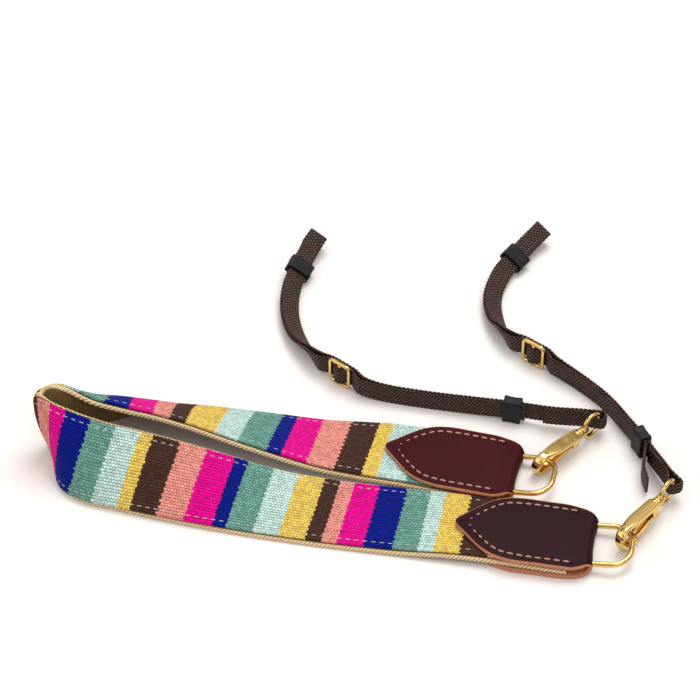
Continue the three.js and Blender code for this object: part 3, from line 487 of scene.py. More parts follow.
def cotton_backing():
    """The webbing under it: each edge is a twisted bead, its radius swelling with
    |sin(pi s / TWIST_PITCH + angle)| as the strands go round it."""
    rows = band_rows(0.6)
    drop = band_drop(rows)
    low = FACE_WALL + GAP
    across, depth, on_edge = flat_section(BACKING_WIDTH, low, low + BACKING_WALL, 12, 9)
    s = lengths_along(band_line(rows, 0.0))
    angle = np.arctan2(depth - low - BACKING_WALL / 2, 1.0) * on_edge
    swell = np.abs(np.sin(np.pi * (s[:, None] / TWIST_PITCH) + angle[None, :]))
    bead = (TWIST_SWELL * swell - TWIST_SINK) * on_edge
    lift = TWIST_LIFT * swell * on_edge * np.sign(depth - low - BACKING_WALL / 2)
    rings = band_points(rows, across[None, :] + bead * np.sign(across), depth[None, :] + lift)
    rings[..., 2] = np.maximum(rings[..., 2] + drop[:, None], 0.02)
    # 0 is the flat webbing, 1 its twisted edge
    return loft(rings, u=s, v=strip_uv(across, depth), finish=on_edge)


def capsule_stitches(centres, along, normal, length, width):
    """Short threads: an ellipse of length by width by 0.64 of the width round each centre,
    with its ends drawn down into the cloth by 0.35 of the width."""
    a = np.linspace(0, np.pi, 9)[1:-1]
    b = np.linspace(0, 2 * np.pi, 8, endpoint=False)
    side = np.cross(normal, along)
    profile = np.sin(a) ** 0.6
    x = -np.cos(a) * length / 2
    sink = -0.35 * width * (1 - np.sin(a))
    ring = (x[None, :, None, None] * along[:, None, None]
            + (profile[:, None] * np.cos(b))[None, ..., None] * width / 2 * side[:, None, None]
            + (profile[:, None] * np.sin(b) * 0.32 * width + sink[:, None])[None, ..., None]
            * normal[:, None, None])
    ring = ring + centres[:, None, None]
    return joined([loft(r) for r in ring])


def topstitch():
    """White running stitch along both edges of the face, 2.4 mm long every 4 mm."""
    rows = band_rows(1.0)
    drop = band_drop(rows)
    parts = []
    inset = TOPSTITCH["inset"]
    for across in (-FACE_WIDTH / 2 + inset, FACE_WIDTH / 2 - inset):
        line, inner = (band_line(rows, across, depth) + drop[:, None] * UP
                       for depth in (-0.08, 1.0))
        s = lengths_along(line)
        t = np.arange(TOPSTITCH["start"], s[-1] - TOPSTITCH["start"], TOPSTITCH["pitch"])
        at, ahead, below = (resampled(*pair) for pair in
                            ((line, s, t), (line, s, t + 1), (inner, s, t)))
        parts.append(capsule_stitches(at, unit(ahead - at), unit(at - below),
                                      TOPSTITCH["length"], TOPSTITCH["width"]))
    return joined(parts)


# Leather tabs

def turned(angle):
    """Axes turned about Z by a compass angle in degrees, as columns."""
    a = np.radians(angle)
    return np.array([[np.cos(a), -np.sin(a), 0], [np.sin(a), np.cos(a), 0], [0, 0, 1]])


def tab_half_width(x):
    """Half width of a tab from its tip: a leaf that swells in a quarter curve to its full
    width at 28 mm, runs level, and turns in at the ring."""
    knots = np.array([(0.0, 1.0), (0.6, 2.4), (4.5, 6.4), (9.0, 10.9), (14.0, 15.4),
                      (20.0, 18.7), (28.0, TAB_HALF), (40.0, TAB_HALF), (52.0, 20.3), (57.0, 19.6),
                      (61.0, 17.9), (64.0, 15.2), (65.5, 12.4)])
    return np.interp(x, *(through(knots, spans(knots, 0.4)).T))


def tab_path():
    """Middle of the leather from the tip over the top, half way round the fold and back
    below, and how much of each place belongs to the top layer: 1 there, falling to 0 round
    the fold. The top dips between the band's end and the ring's bar."""
    bend = TAB_POCKET / 2 + LEATHER_WALL / 2
    fold_x = TAB_LENGTH - TAB_POCKET / 2 - LEATHER_WALL
    middle = LEATHER_WALL + TAB_POCKET / 2
    tip_x = np.linspace(0, 1, 30)[:-1] ** 1.5 * 12
    layer_x = np.concatenate([tip_x, np.linspace(12, fold_x, 66)])
    angle = np.linspace(np.pi / 2, -np.pi / 2, 22)[1:-1]
    level = np.ones(len(layer_x))
    x = np.concatenate([layer_x, fold_x + bend * np.cos(angle), layer_x[::-1]])
    z = middle + bend * np.concatenate([level, np.sin(angle), -level])
    over = np.concatenate([level, np.sin(angle).clip(0), 0 * level])
    z -= over * DIP_DEPTH * np.exp(-((x - DIP_X) / DIP_REACH) ** 2)
    return np.stack([x, 0 * x, z], -1), over


def leather_tab():
    """A strap of leather folded round the ring: a rounded strip as wide as the leaf at each
    place of the path. Outside, the top layer is crowned by 1 - (y / half)^2 and drawn in
    along its stitches, and the fold is pulled in towards the ring's bar by 1 - (y / 12)^2."""
    path, over = tab_path()
    tangent = unit(np.gradient(path, axis=0))
    outward_way = np.cross(tangent, np.array([0.0, 1.0, 0.0]))
    half = tab_half_width(path[:, 0])[:, None]
    place, depth, on_edge = flat_section(2.0, -1.0, 1.0, 33, 7)
    round_over = EDGE_SHARE * LEATHER_WALL
    reach = np.maximum(half - round_over, 0.3)
    level = place / np.abs(place[on_edge == 0]).max()
    bow = round_over * np.sqrt(np.clip(1 - depth ** 2, 0, 1))
    y = np.where(on_edge > 0, np.sign(place) * (reach + bow), level * reach)
    thickness = np.broadcast_to(depth * LEATHER_WALL / 2, y.shape).copy()
    groove = STITCH_GROOVE * np.exp(-((half - np.abs(y) - STITCH_INSET) / 0.8) ** 2)
    crown = TAB_CROWN * (1 - (np.abs(y) / np.maximum(half, 1)) ** 2)
    near_fold = np.clip((path[:, :1] - 57) / 8, 0, 1)
    thickness += (crown - groove) * (1 - near_fold) * (depth > 0) * (over[:, None] > 0.5)
    rings = (path[:, None] + np.array([0.0, 1.0, 0.0]) * y[..., None]
             + outward_way[:, None] * thickness[..., None])
    rings[..., 0] -= FOLD_PULL * near_fold ** 2 * np.clip(1 - (y / RING_HALF) ** 2, 0, 1)
    rings[..., 2] = np.maximum(rings[..., 2], 0.0)
    # 0 is the grain side, 1 the cut edge and the flesh side
    finish = np.where((depth > 0.5) & (on_edge == 0), 0, 1)
    return loft(rings, finish=finish, end_finish=1)


def tab_stitches():
    """Two rows of thick thread along the leaf, 3.2 mm long every 4.3 mm, with a dark mark of
    painted shadow for the pricked hole beyond the end of each."""
    knots = np.array(TAB_STITCHES)
    line = through(knots, spans(knots, 0.5))
    s = lengths_along(line)
    t = np.arange(TAB_STITCH["start"], s[-1] - 1.0, TAB_STITCH["pitch"])
    x, y = resampled(line, s, t).T
    x2, y2 = resampled(line, s, t + 0.5).T
    along = unit(np.stack([x2 - x, y2 - y, np.zeros(len(x))], -1))
    z = np.full(len(x), LEATHER_WALL * 2 + TAB_POCKET + 0.05)
    threads, hole_shadows = [], []
    for sign in (-1, 1):
        mirror = np.array([1, sign, 1.0])
        at = np.stack([x, sign * y, z], -1)
        way = along * mirror
        rows = np.broadcast_to(UP, at.shape)
        threads.append(capsule_stitches(at, way, rows, TAB_STITCH["length"],
                                        TAB_STITCH["width"]))
        # dark marks of painted shadow in each pricked hole
        pricked = at + way * TAB_HOLE["ahead"] - UP * TAB_HOLE["sunk"]
        hole_shadows.append(capsule_stitches(pricked, way, rows, TAB_HOLE["length"],
                                      TAB_HOLE["width"]))
    return joined(threads), joined(hole_shadows)


# Wire shapes

def outline_run(corners, step):
    """Points of a path made of straight runs and arcs. Each corner is (x, y, radius); an arc
    of that radius joins the two runs that meet there."""
    c = np.array(corners, float)
    points = []
    for n in range(len(c)):
        p, a, b = c[n, :2], c[n - 1, :2], c[(n + 1) % len(c), :2]
        ua, ub = unit(a - p), unit(b - p)
        turn = np.arccos(np.clip(ua @ ub, -1, 1))
        r = c[n, 2]
        cut = r / np.tan(turn / 2)
        centre = p + unit(ua + ub) * r / np.sin(turn / 2)
        start, end = p + ua * cut - centre, p + ub * cut - centre
        a0 = np.arctan2(start[1], start[0])
        sweep = (np.arctan2(end[1], end[0]) - a0 + np.pi) % (2 * np.pi) - np.pi
        t = np.linspace(0, 1, max(4, int(abs(sweep) * r / step)) + 1)
        angles = a0 + sweep * t
        points.append(centre + r * np.stack([np.cos(angles), np.sin(angles)], -1))
    closed = np.vstack(points + [points[0][:1]])
    s = lengths_along(closed)
    t = np.linspace(0, s[-1], int(s[-1] / step), endpoint=False)
    return np.stack([np.interp(t, s, closed[:, n]) for n in range(2)], -1)


def wire_ring(outline, wire, sides=18):
    """Round wire on a flat closed outline: centre + r (cos b inward + sin b up)."""
    ahead = np.roll(outline, -1, axis=0) - np.roll(outline, 1, axis=0)
    tangent = unit(ahead)
    inward = np.stack([-tangent[:, 1], tangent[:, 0], np.zeros(len(outline))], -1)
    b = np.linspace(0, 2 * np.pi, sides, endpoint=False)
    centre = np.column_stack([outline, np.zeros(len(outline))])
    rings = (centre[:, None] + wire / 2 * (np.cos(b)[None, :, None] * inward[:, None]
                                           + np.sin(b)[None, :, None] * UP))
    return ring_loft(rings)


def turned_on_x(profile, sides=26):
    """A turned piece: pairs of (x, radius) spun round the X axis, closed at both ends."""
    p = np.array(profile, float)
    b = np.linspace(0, 2 * np.pi, sides, endpoint=False)
    r = np.maximum(p[:, 1], 0.01)
    rings = np.stack([np.broadcast_to(p[:, :1], (len(p), sides)),
                      r[:, None] * np.cos(b), r[:, None] * np.sin(b)], -1)
    return loft(rings)


def tab_ring():
    w, length = RING_HALF, RING_END_X - RING_BAR_X
    corners = ((0, -w, RING_BAR_RADIUS), (length, -w, RING_END_RADIUS),
               (length, w, RING_END_RADIUS), (0, w, RING_BAR_RADIUS))
    return wire_ring(outline_run(corners, 0.7), RING_WIRE)


def hook_body():
    """Flat bar that turns into a round bow: the path of the wall's middle rises along the
    bar, goes half way round the bow and back to its tip; the section is a superellipse
    whose power falls from 9 on the bar to 2.6 on the bow."""
    cx, cz = HOOK_LENGTH - BOW_RADIUS - HOOK_WALL / 2, -BOW_DROP
    bar_end = np.array([cx, cz + BOW_RADIUS])
    bar = np.linspace(0, 1, 44)[:, None] * (bar_end - BAR_START) + BAR_START
    a = np.linspace(np.pi / 2, -np.pi / 2, 30)[1:-1]
    bow = np.stack([cx + BOW_RADIUS * np.cos(a), cz + BOW_RADIUS * np.sin(a)], -1)
    leg_x = np.linspace(cx, BOW_LEG_END + 0.1, 16)
    leg = np.stack([leg_x, np.full(16, cz - BOW_RADIUS)], -1)
    line = np.vstack([bar, bow, leg])
    s = lengths_along(line)
    tangent = unit(np.gradient(line, axis=0))
    normal = np.stack([-tangent[:, 1], tangent[:, 0]], -1)
    x = line[:, 0]
    ease = np.clip((s - 15) / 10, 0, 1)
    ease = ease * ease * (3 - 2 * ease)
    width = HOOK_WIDTH + (BOW_WIDTH - HOOK_WIDTH) * ease
    width = np.where(s < 2.5, HOOK_WIDTH - 0.25 * (2.5 - s), width)
    tip = np.clip((s[-1] - s) / 1.3, 0, 1)
    round_tip = np.sqrt(np.maximum(1 - (1 - tip) ** 2, 0.03))
    power = 9 - 6.4 * ease
    across, depth = rounded_section(width * (0.35 + 0.65 * round_tip),
                                    HOOK_WALL * round_tip, power)
    rings = np.stack([x[:, None] + normal[:, :1] * depth, across,
                      line[:, 1:] + normal[:, 1:] * depth], -1)
    return loft(rings)


def hook_collar():
    """End plate, stepped collar, swivel post and its domed head inside the eye."""
    return turned_on_x((
        (-5.2, 0), (-5.1, 0.8), (-4.8, 1.5), (-4.4, 1.9), (-3.9, 2.05), (-3.7, 1.9), (-3.7, 1.3),
        (-0.2, 1.3), (0.0, 1.35), (0.0, 2.2), (0.25, 2.55), (0.8, 2.7), (1.25, 2.6), (1.45, 2.3),
        (1.7, 2.25), (1.9, 2.5), (2.4, 2.75), (3.0, 2.8), (3.5, 2.6), (3.8, 2.0), (3.85, 0)))


def rounded_plate(x0, x1, z0, z1, y0, y1, corner=0.9):
    """A small plate lying in X and Z with rounded corners and eased rims: a superellipse
    outline at four depths through its thickness."""
    cx, cz, hx, hz = (x0 + x1) / 2, (z0 + z1) / 2, (x1 - x0) / 2, (z1 - z0) / 2
    y = np.array([y0, y0 + 0.12, y1 - 0.12, y1])
    ease = np.array([0.93, 1.0, 1.0, 0.93])
    a, d = rounded_section(2 * hx * ease, 2 * hz * ease, np.full(4, 4.0), 24)
    rings = np.stack([cx + a, np.broadcast_to(y[:, None], a.shape), cz + d], -1)
    return loft(rings)


def hook_cheeks():
    """The two plates beside the lever's pin, and the bar's end plate at the collar."""
    outer = HOOK_WIDTH / 2 - 0.1
    plates = [rounded_plate(3.6, 8.2, -4.4, 0.9, outer - 0.8, outer),
              rounded_plate(3.6, 8.2, -4.4, 0.9, -outer, -outer + 0.8)]
    end = turned_on_x(((2.6, 0), (2.65, 2.6), (3.2, 2.9), (4.4, 2.8), (4.6, 0)))
    end["points"] = end["points"] * (1, 0.98, 0.92) + (0, 0, -0.3)
    return plates + [end]


def hook_gate():
    """The lever: a channel of 0.62 mm sheet, its mouth to the outside. The section is a U of
    twelve points, as wide as the lever at each place, carried from the pin to the tip,
    where the floor thins under the bow's leg. The pin runs across with domed ends."""
    reach = GATE_END_X - GATE_PIVOT[0]
    back = -1.5                                         # end of the lever behind its pin
    closing = [back, reach - 3.5, reach - 2.5, reach]   # the channel closes at its tip
    x = np.concatenate([np.linspace(back, 0, 6), np.linspace(0.6, reach, 26)])
    rest = -BOW_DROP - BOW_RADIUS + HOOK_WALL / 2 + GAP - GATE_PIVOT[2]
    floor = np.interp(x, [back, 0, reach - 2.8, reach], [0.9, 0.95, rest + 1.15, rest + 1.15])
    wide = np.interp(x, [back, 2.8, 4.6, reach - 3, reach], [1.75, 1.85, 2.55, 2.55, 2.1])
    deep = np.interp(x, [back, 0, 3, reach - 4, reach - 2.4, reach],
                     [1.2, 1.9, 2.1, 1.6, 1.05, 1.0])
    wall = np.interp(x, closing, [0.62, 0.62, 2.0, 2.0])
    wall = np.minimum(wall, wide - 0.02)
    hollow = np.interp(x, closing, [0.7, 0.7, 0.98, 0.98])
    hollow = np.minimum(hollow, deep - 0.02)
    top, low = floor, floor - deep
    e = 0.18                                            # eased edge
    y = np.stack([-wide + e, wide - e, wide, wide, wide - e, wide - wall + e * 0.3,
                  wide - wall, -wide + wall, -wide + wall - e * 0.3, -wide + e, -wide, -wide], -1)
    z = np.stack([top, top, top - e, low + e, low, low, top - hollow, top - hollow,
                  low, low, low + e, top - e], -1)
    rings = np.stack([np.broadcast_to(x[:, None], y.shape), y, z], -1)
    lever = loft(rings)
    pin = turned_on_x(((-3.35, 0), (-3.3, 0.7), (-3.1, 0.95), (-2.9, 1.0), (2.9, 1.0),
                       (3.1, 0.95), (3.3, 0.7), (3.35, 0)), 18)
    pin["points"] = pin["points"][:, [1, 0, 2]]
    return [lever, outward(pin)]


def hook_eye():
    """Round wire ring in the hook's plane with a drilled boss for the post."""
    a = np.linspace(0, 2 * np.pi, 60, endpoint=False)
    outline = EYE_RADIUS * np.stack([np.cos(a), np.sin(a)], -1)
    ring = wire_ring(outline, EYE_WIRE, 16)
    ring["points"] = ring["points"][:, [0, 2, 1]] - (EYE_TO_COLLAR, 0, 0)
    near = -EYE_TO_COLLAR + EYE_RADIUS
    profile = np.array(((-1.6, 1.65), (-1.6, 2.0), (-1.3, 2.35), (0.8, 2.4), (1.1, 2.15),
                        (1.1, 1.65))) + (near, 0)
    b = np.linspace(0, 2 * np.pi, 24, endpoint=False)
    rings = np.stack([np.broadcast_to(profile[:, :1], (6, 24)), profile[:, 1:] * np.cos(b),
                      profile[:, 1:] * np.sin(b)], -1)
    return [outward(ring), ring_loft(rings)]


# Tethers

def tether_frames(name, step):
    """Places on the middle of the doubled webbing: the way along, the way across the strip
    and the way through its layers, rolled from level by the table's roll."""
    rows = table(TETHERS[name], TETHER_COLUMNS)
    knots = np.stack([rows["x"], rows["y"], np.zeros(len(rows["x"]))], -1)
    t = spans(knots, step)
    p = through(knots, t)
    roll, lift, spread = (carried(rows[c], t) for c in TETHER_COLUMNS[2:])
    roll = np.radians(roll)[:, None]
    along = unit(np.gradient(p, t, axis=0))
    level = unit(np.cross(UP, along))
    across = level * np.cos(roll) + UP * np.sin(roll)
    normal = level * np.sin(roll) - UP * np.cos(roll)
    p[:, 2] = (np.maximum(0, lift) + TETHER_WIDTH / 2 * np.abs(across[:, 2])
               + (spread + TETHER_WALL / 2) * np.abs(normal[:, 2]))
    return {"p": p, "along": along, "across": across, "normal": normal, "spread": spread,
            "knot": t}


def at_row(frames, n):
    return {key: value[n] for key, value in frames.items()}


def at_knot(frames, knot):
    """The first place at or beyond a knot."""
    return at_row(frames, int(np.argmax(frames["knot"] >= knot - 1e-9)))


def webbing_loop(place, sign, size):
    """A teardrop: forward = length sin a, sideways = gap cos a + bulge sin a sin 2a, for a
    from 0 to 180 degrees; the webbing gathers to the loop's own width on the way."""
    a = np.linspace(0, np.pi, 44)[1:-1]
    forward = size["length"] * np.sin(a)
    aside = place["spread"] * np.cos(a) + size["bulge"] * np.sin(a) * np.sin(2 * a)
    points = (place["p"] + forward[:, None] * place["along"] * sign
              + aside[:, None] * place["normal"])
    width = TETHER_WIDTH + (size["width"] - TETHER_WIDTH) * np.minimum(
        1, LOOP_GATHER * np.sin(a) ** 2)
    return points, np.broadcast_to(place["across"], points.shape), width


def threaded(f, travelled):
    """The two layers of the webbing. At the slider the near one passes behind the end bars
    and over the middle one, 1.95 cos(pi x / 6) for x mm from the middle, and the far one
    passes behind it all; both ease back to the spread of the table over 8 mm."""
    x = travelled - np.interp(SLIDER_KNOT, f["knot"], travelled)
    w = np.clip((SLIDER_HALF_LENGTH + THREAD_EASE - np.abs(x)) / THREAD_EASE, 0, 1)
    ease = w * w * (3 - 2 * w)
    wave = THREAD_CLEAR * np.cos(np.pi * np.clip(x / SLIDER_HALF_LENGTH, -1, 1))
    near = (1 - ease) * f["spread"] + ease * wave
    far = -(1 - ease) * f["spread"] - ease * (THREAD_CLEAR + TETHER_WALL + GAP)
    return [f["p"] + offset[:, None] * f["normal"] for offset in (near, far)]


def tether_strip(name):
    """One webbing strip from the cut end of its tail up through the keepers, round the lug
    loop, back down and round the eye loop to its sewn end."""
    f = tether_frames(name, 0.9)
    travelled = lengths_along(f["p"])
    near, far = threaded(f, travelled)
    full = np.full(len(f["p"]), TETHER_WIDTH)
    first = int(np.argmax(f["knot"] >= KEEPER_KNOTS["low"]))
    keeper = at_knot(f, KEEPER_KNOTS["low"])
    ahead = np.array(TAILS[name])
    tail = (keeper["p"] - ahead[:, :1] * keeper["along"] + ahead[:, 1:] * keeper["normal"])
    droop = TAIL_DROOP * np.arange(len(tail))[::-1]
    tail[:, 2] = np.maximum(tail[:, 2] - droop, TETHER_WIDTH / 2)
    knots = np.vstack([tail, near[first]])
    tail = through(knots, spans(knots, 0.9))[:-1]
    lug = webbing_loop(at_row(f, -1), 1, LUG_LOOP)
    eye = webbing_loop(at_row(f, 0), -1, EYE_LOOP)
    back = travelled <= RETURN_LENGTH[name] + 2
    points = np.vstack([tail, near[first:], lug[0], far[::-1], eye[0][::-1], near[back]])
    across = np.vstack([np.broadcast_to(keeper["across"], tail.shape), f["across"][first:],
                        lug[1], f["across"][::-1], eye[1], f["across"][back]])
    width = np.concatenate([np.full(len(tail), TETHER_WIDTH), full[first:], lug[2], full,
                            eye[2][::-1], full[back]])
    return points, across, width


def tether_part(name):
    """The strip's section carried along it, its edges stepping in and out with the weft."""
    points, across, width = tether_strip(name)
    s = lengths_along(points)
    t = np.linspace(0, s[-1], int(s[-1] / 0.55))
    points = resampled(points, s, t)
    across = unit(resampled(across, s, t))
    width = np.interp(t, s, width)
    normal = unit(np.cross(across, np.gradient(points, axis=0)))
    v, d, on_edge = flat_section(TETHER_WIDTH, -TETHER_WALL / 2, TETHER_WALL / 2, 10, 5)
    deep = EDGE_SHARE * TETHER_WALL
    flat = v / np.abs(v[on_edge == 0]).max()
    reach = width / 2 - deep
    bow = np.cos(np.arcsin(np.clip(d / (TETHER_WALL / 2), -1, 1)))
    y = np.where(on_edge > 0, np.sign(v) * (reach[:, None] + deep * bow), flat * reach[:, None])
    step = TETHER_STEP * np.sin(2 * np.pi * t / TETHER_STEP_PITCH)[:, None]
    y = y + step * on_edge * np.sign(v)
    # narrowed webbing puckers into soft pleats
    pinch = 1 - width[:, None] / TETHER_WIDTH
    pleat = PLEAT_HEIGHT * pinch * np.cos(2 * np.pi * flat * PLEATS_PER_HALF)
    rings = (points[:, None] + across[:, None] * y[..., None]
             + normal[:, None] * (d + pleat * (on_edge == 0))[..., None])
    rings[..., 2] = np.maximum(rings[..., 2], 0.0)
    return loft(rings, u=t, v=strip_uv(flat * TETHER_WIDTH / 2, d)), s[-1]


def tether_axes(place):
    """Axes of a piece on a tether as columns: along it, through its layers, across it."""
    return np.stack([place["along"], np.cross(place["across"], place["along"]),
                     place["across"]], -1)


def keeper_part():
    """Moulded sleeve: a rounded tube of oblong section, its wall closed at both mouths."""
    open_y = 2 * LAYER_OFFSET + TETHER_WALL + 3 * GAP
    open_z = TETHER_WIDTH + 3 * GAP
    x = KEEPER_LENGTH / 2
    # round one mouth to the inside, along it, round the other mouth and back over the
    # outside with its waist: how far in from the mouth, and the share of the wall
    mouth = ((0.6, 0.0), (0.2, 0.05), (0.0, 0.3), (0.0, 0.6), (0.12, 0.86), (0.5, 1.0))
    far = [(x - inset, share) for inset, share in mouth]
    near = [(inset - x, share) for inset, share in mouth[::-1]]
    rows = np.array(near + far + [(x - 1.6, 1.0), (x - 2.2, 0.9), (0.0, 0.86),
                                  (2.2 - x, 0.9), (1.6 - x, 1.0)])
    wall = rows[:, 1] * KEEPER_WALL
    a, d = rounded_section(open_z + 2 * wall, open_y + 2 * wall, 7 + 0 * wall, 40)
    rings = np.stack([np.broadcast_to(rows[:, :1], a.shape), d, a], -1)
    return ring_loft(rings)


def slider_part():
    """Wire frame as wide as the webbing, with a bar across its middle."""
    z = TETHER_WIDTH / 2 + GAP + SLIDER_WIRE / 2
    x, r = SLIDER_HALF_LENGTH, SLIDER_CORNER
    corners = ((-x, -z, r), (x, -z, r), (x, z, r), (-x, z, r))
    loop = wire_ring(outline_run(corners, 0.5), SLIDER_WIRE, 16)
    loop["points"] = loop["points"][:, [0, 2, 1]]
    bar = turned_on_x(((-z, 0), (-z, SLIDER_WIRE / 2), (z, SLIDER_WIRE / 2), (z, 0)), 16)
    bar["points"] = bar["points"][:, [2, 1, 0]]
    return joined([outward(loop), outward(bar)])


# Materials

def linear(hex_colour):
    """sRGB hex to linear RGBA: c / 12.92 below 0.04045, else ((c + 0.055) / 1.055) ^ 2.4."""
    c = np.array([int(hex_colour[n:n + 2], 16) for n in (1, 3, 5)]) / 255
    return (*np.where(c < 0.04045, c / 12.92, ((c + 0.055) / 1.055) ** 2.4), 1.0)


def feed(tree, node, inputs):
    """Sets each input of a node to a value, or joins it to another node's output."""
    for key, value in inputs.items():
        if isinstance(value, bpy.types.NodeSocket):
            tree.links.new(value, node.inputs[key])
        else:
            node.inputs[key].default_value = value


def add(tree, kind, inputs=(), **settings):
    """Adds one node with its settings and inputs."""
    node = tree.nodes.new(kind)
    for key, value in settings.items():
        setattr(node, key, value)
    feed(tree, node, dict(inputs))
    return node


def maths(tree, operation, *values):
    """The result of one operation on numbers or on other nodes' outputs."""
    return add(tree, "ShaderNodeMath", dict(enumerate(values)), operation=operation).outputs[0]


def ranged(tree, value, low, high, start=0.0, stop=1.0):
    """The value carried from the range start to stop into the range low to high."""
    return add(tree, "ShaderNodeMapRange",
               {0: value, 1: start, 2: stop, 3: low, 4: high}).outputs[0]


def noise(tree, place, scale, detail=2.0, roughness=0.5):
    """Cloudy noise with about scale features to the metre."""
    return add(tree, "ShaderNodeTexNoise", {"Vector": place, "Scale": scale, "Detail": detail,
                                            "Roughness": roughness}).outputs[0]


def white_noise(tree, x, y):
    """A random value for each pair of whole numbers."""
    pair = add(tree, "ShaderNodeCombineXYZ", {0: x, 1: y})
    return add(tree, "ShaderNodeTexWhiteNoise", {0: pair.outputs[0]},
               noise_dimensions="2D").outputs[0]


def between(tree, factor, dark, pale):
    """A colour between two hex colours."""
    return add(tree, "ShaderNodeMix", {"Factor": factor, 6: linear(dark), 7: linear(pale)},
               data_type="RGBA").outputs[2]


def bump(tree, height, distance, strength):
    """Relief from a height; the distance is in metres."""
    return add(tree, "ShaderNodeBump", {"Height": height, "Distance": distance,
                                        "Strength": strength}).outputs[0]


def own_place(tree):
    return add(tree, "ShaderNodeTexCoord").outputs["Object"]


def cloth_place(tree):
    return add(tree, "ShaderNodeUVMap", uv_map="cloth_mm").outputs[0]


def along_across(tree):
    """Millimetres along the cloth and across it."""
    return add(tree, "ShaderNodeSeparateXYZ", {0: cloth_place(tree)}).outputs[:2]


def new_material(name):
    material = bpy.data.materials.new(name)
    material.use_nodes = True
    tree = material.node_tree
    return material, tree, tree.nodes["Principled BSDF"]


def plain_weave(tree, rib, pick):
    """Height of a weft-faced weave on the cloth's own millimetres: ribs |sin(pi across /
    rib)| ^ 0.45, cut into picks 0.35 + 0.65 |sin(pi (along / pick + half for every other
    rib))|. Returns the height, the rib's number, whether it is odd and a random value for
    each pick."""
    along, across = along_across(tree)
    ribs = maths(tree, "DIVIDE", across, rib)
    number = maths(tree, "FLOOR", ribs)
    odd = maths(tree, "FLOORED_MODULO", number, 2.0)
    picks = maths(tree, "ADD", maths(tree, "DIVIDE", along, pick),
                  maths(tree, "MULTIPLY", odd, 0.5))
    ridge, swell = (maths(tree, "ABSOLUTE",
                          maths(tree, "SINE", maths(tree, "MULTIPLY", source, np.pi)))
                    for source in (ribs, picks))
    lift = maths(tree, "MULTIPLY_ADD", swell, 0.65, 0.35)
    height = maths(tree, "MULTIPLY", maths(tree, "POWER", ridge, 0.45), lift)
    return height, number, odd, white_noise(tree, number, maths(tree, "FLOOR", picks))


def shaded_by(tree, colour, height, chance, dark, spread):
    """The colour with painted shade in the gaps between picks, varied a little from pick to pick.
    """
    factor = maths(tree, "MULTIPLY", ranged(tree, height, dark, 1.0, stop=0.85),
                   ranged(tree, chance, 1 - spread, 1 + spread))
    return add(tree, "ShaderNodeVectorMath", {0: colour, 3: factor},
               operation="SCALE").outputs[0]


def striped_weave():
    # Weft-faced cotton tapestry weave, ribs 1.5 mm apart and picks 1.45 mm long: matt, with
    # jagged stripe borders where the weft turns back, and painted shade in the gaps between picks
    material, tree, surface = new_material("cotton_tapestry_weave")
    height, number, odd, chance = plain_weave(tree, 1.5, 1.45)
    stripe = add(tree, "ShaderNodeAttribute", attribute_name="stripe").outputs["Fac"]
    wobble = white_noise(tree, number, maths(tree, "ROUND", stripe))
    jag = maths(tree, "MULTIPLY", wobble, 0.04)
    zig = maths(tree, "MULTIPLY_ADD", odd, 0.05, -0.045)
    moved = maths(tree, "ADD", maths(tree, "ADD", stripe, jag), zig)
    count = len(WEFT_COLOURS)
    cycle = maths(tree, "FLOORED_MODULO", maths(tree, "FLOOR", moved), float(count))
    ramp = add(tree, "ShaderNodeValToRGB",
               {0: maths(tree, "MULTIPLY_ADD", cycle, 1 / count, 0.5 / count)})
    ramp.color_ramp.interpolation = "CONSTANT"
    stops = ramp.color_ramp.elements
    while len(stops) < count:
        stops.new(0.5)
    for n, colour in enumerate(WEFT_COLOURS):
        stops[n].position = n / count
        stops[n].color = linear(colour)
    feed(tree, surface, {
        "Base Color": shaded_by(tree, ramp.outputs[0], height, chance, 0.28, 0.2),
        "Normal": bump(tree, height, 0.0007, 0.85),
        "Roughness": 0.88, "Sheen Weight": 0.03, "Specular IOR Level": 0.12})
    return material


def cotton_webbing():
    # Natural cotton webbing, ribs 1.6 mm apart: matt beige, threads seen at its thick edge. The
    # beige is darker than the edge's cream, partly its own colour and partly painted shade for the
    # hollow inside the fold; painted shade also darkens the gaps between picks
    material, tree, surface = new_material("natural_cotton_webbing")
    height, _, _, chance = plain_weave(tree, 1.6, 1.5)
    # darker beige than the edge: own colour and painted shade of the hollow inside the fold
    base = add(tree, "ShaderNodeRGB").outputs[0]
    base.default_value = linear("#A08559")
    feed(tree, surface, {
        "Base Color": shaded_by(tree, base, height, chance, 0.5, 0.12),
        "Normal": bump(tree, height, 0.0004, 0.7),
        "Roughness": 0.9, "Specular IOR Level": 0.25})
    return material


def twisted_edge():
    # Edge of the webbing, two cream cords twisted round each other: pale strands with painted
    # shade in the gaps that slant across the edge every 1.9 mm
    material, tree, surface = new_material("twisted_cotton_edge")
    along, across = along_across(tree)
    turn = maths(tree, "MULTIPLY_ADD", along, np.pi / TWIST_PITCH,
                 maths(tree, "MULTIPLY", across, np.pi / 2))
    strand = maths(tree, "ABSOLUTE", maths(tree, "SINE", turn))
    tone = ranged(tree, strand, 0.0, 1.0, start=0.05, stop=0.7)
    feed(tree, surface, {
        "Base Color": between(tree, tone, "#C39A66", "#F3DBB2"),
        "Normal": bump(tree, strand, 0.0005, 0.8),
        "Roughness": 0.9, "Specular IOR Level": 0.15})
    return material


def tether_webbing():
    # Narrow polyester webbing, near-black warp with red-brown floats 1.9 mm apart: a low sheen,
    # and painted shade in the gaps between picks
    material, tree, surface = new_material("brown_polyester_webbing")
    height, _, _, chance = plain_weave(tree, 1.45, 1.9)
    fleck = ranged(tree, height, 0.0, 1.0, start=0.7, stop=0.9)
    base = between(tree, fleck, "#070303", "#734A3F")
    feed(tree, surface, {
        "Base Color": shaded_by(tree, base, height, chance, 0.4, 0.3),
        "Normal": bump(tree, height, 0.0004, 0.7),
        "Roughness": 0.62, "Specular IOR Level": 0.35})
    return material


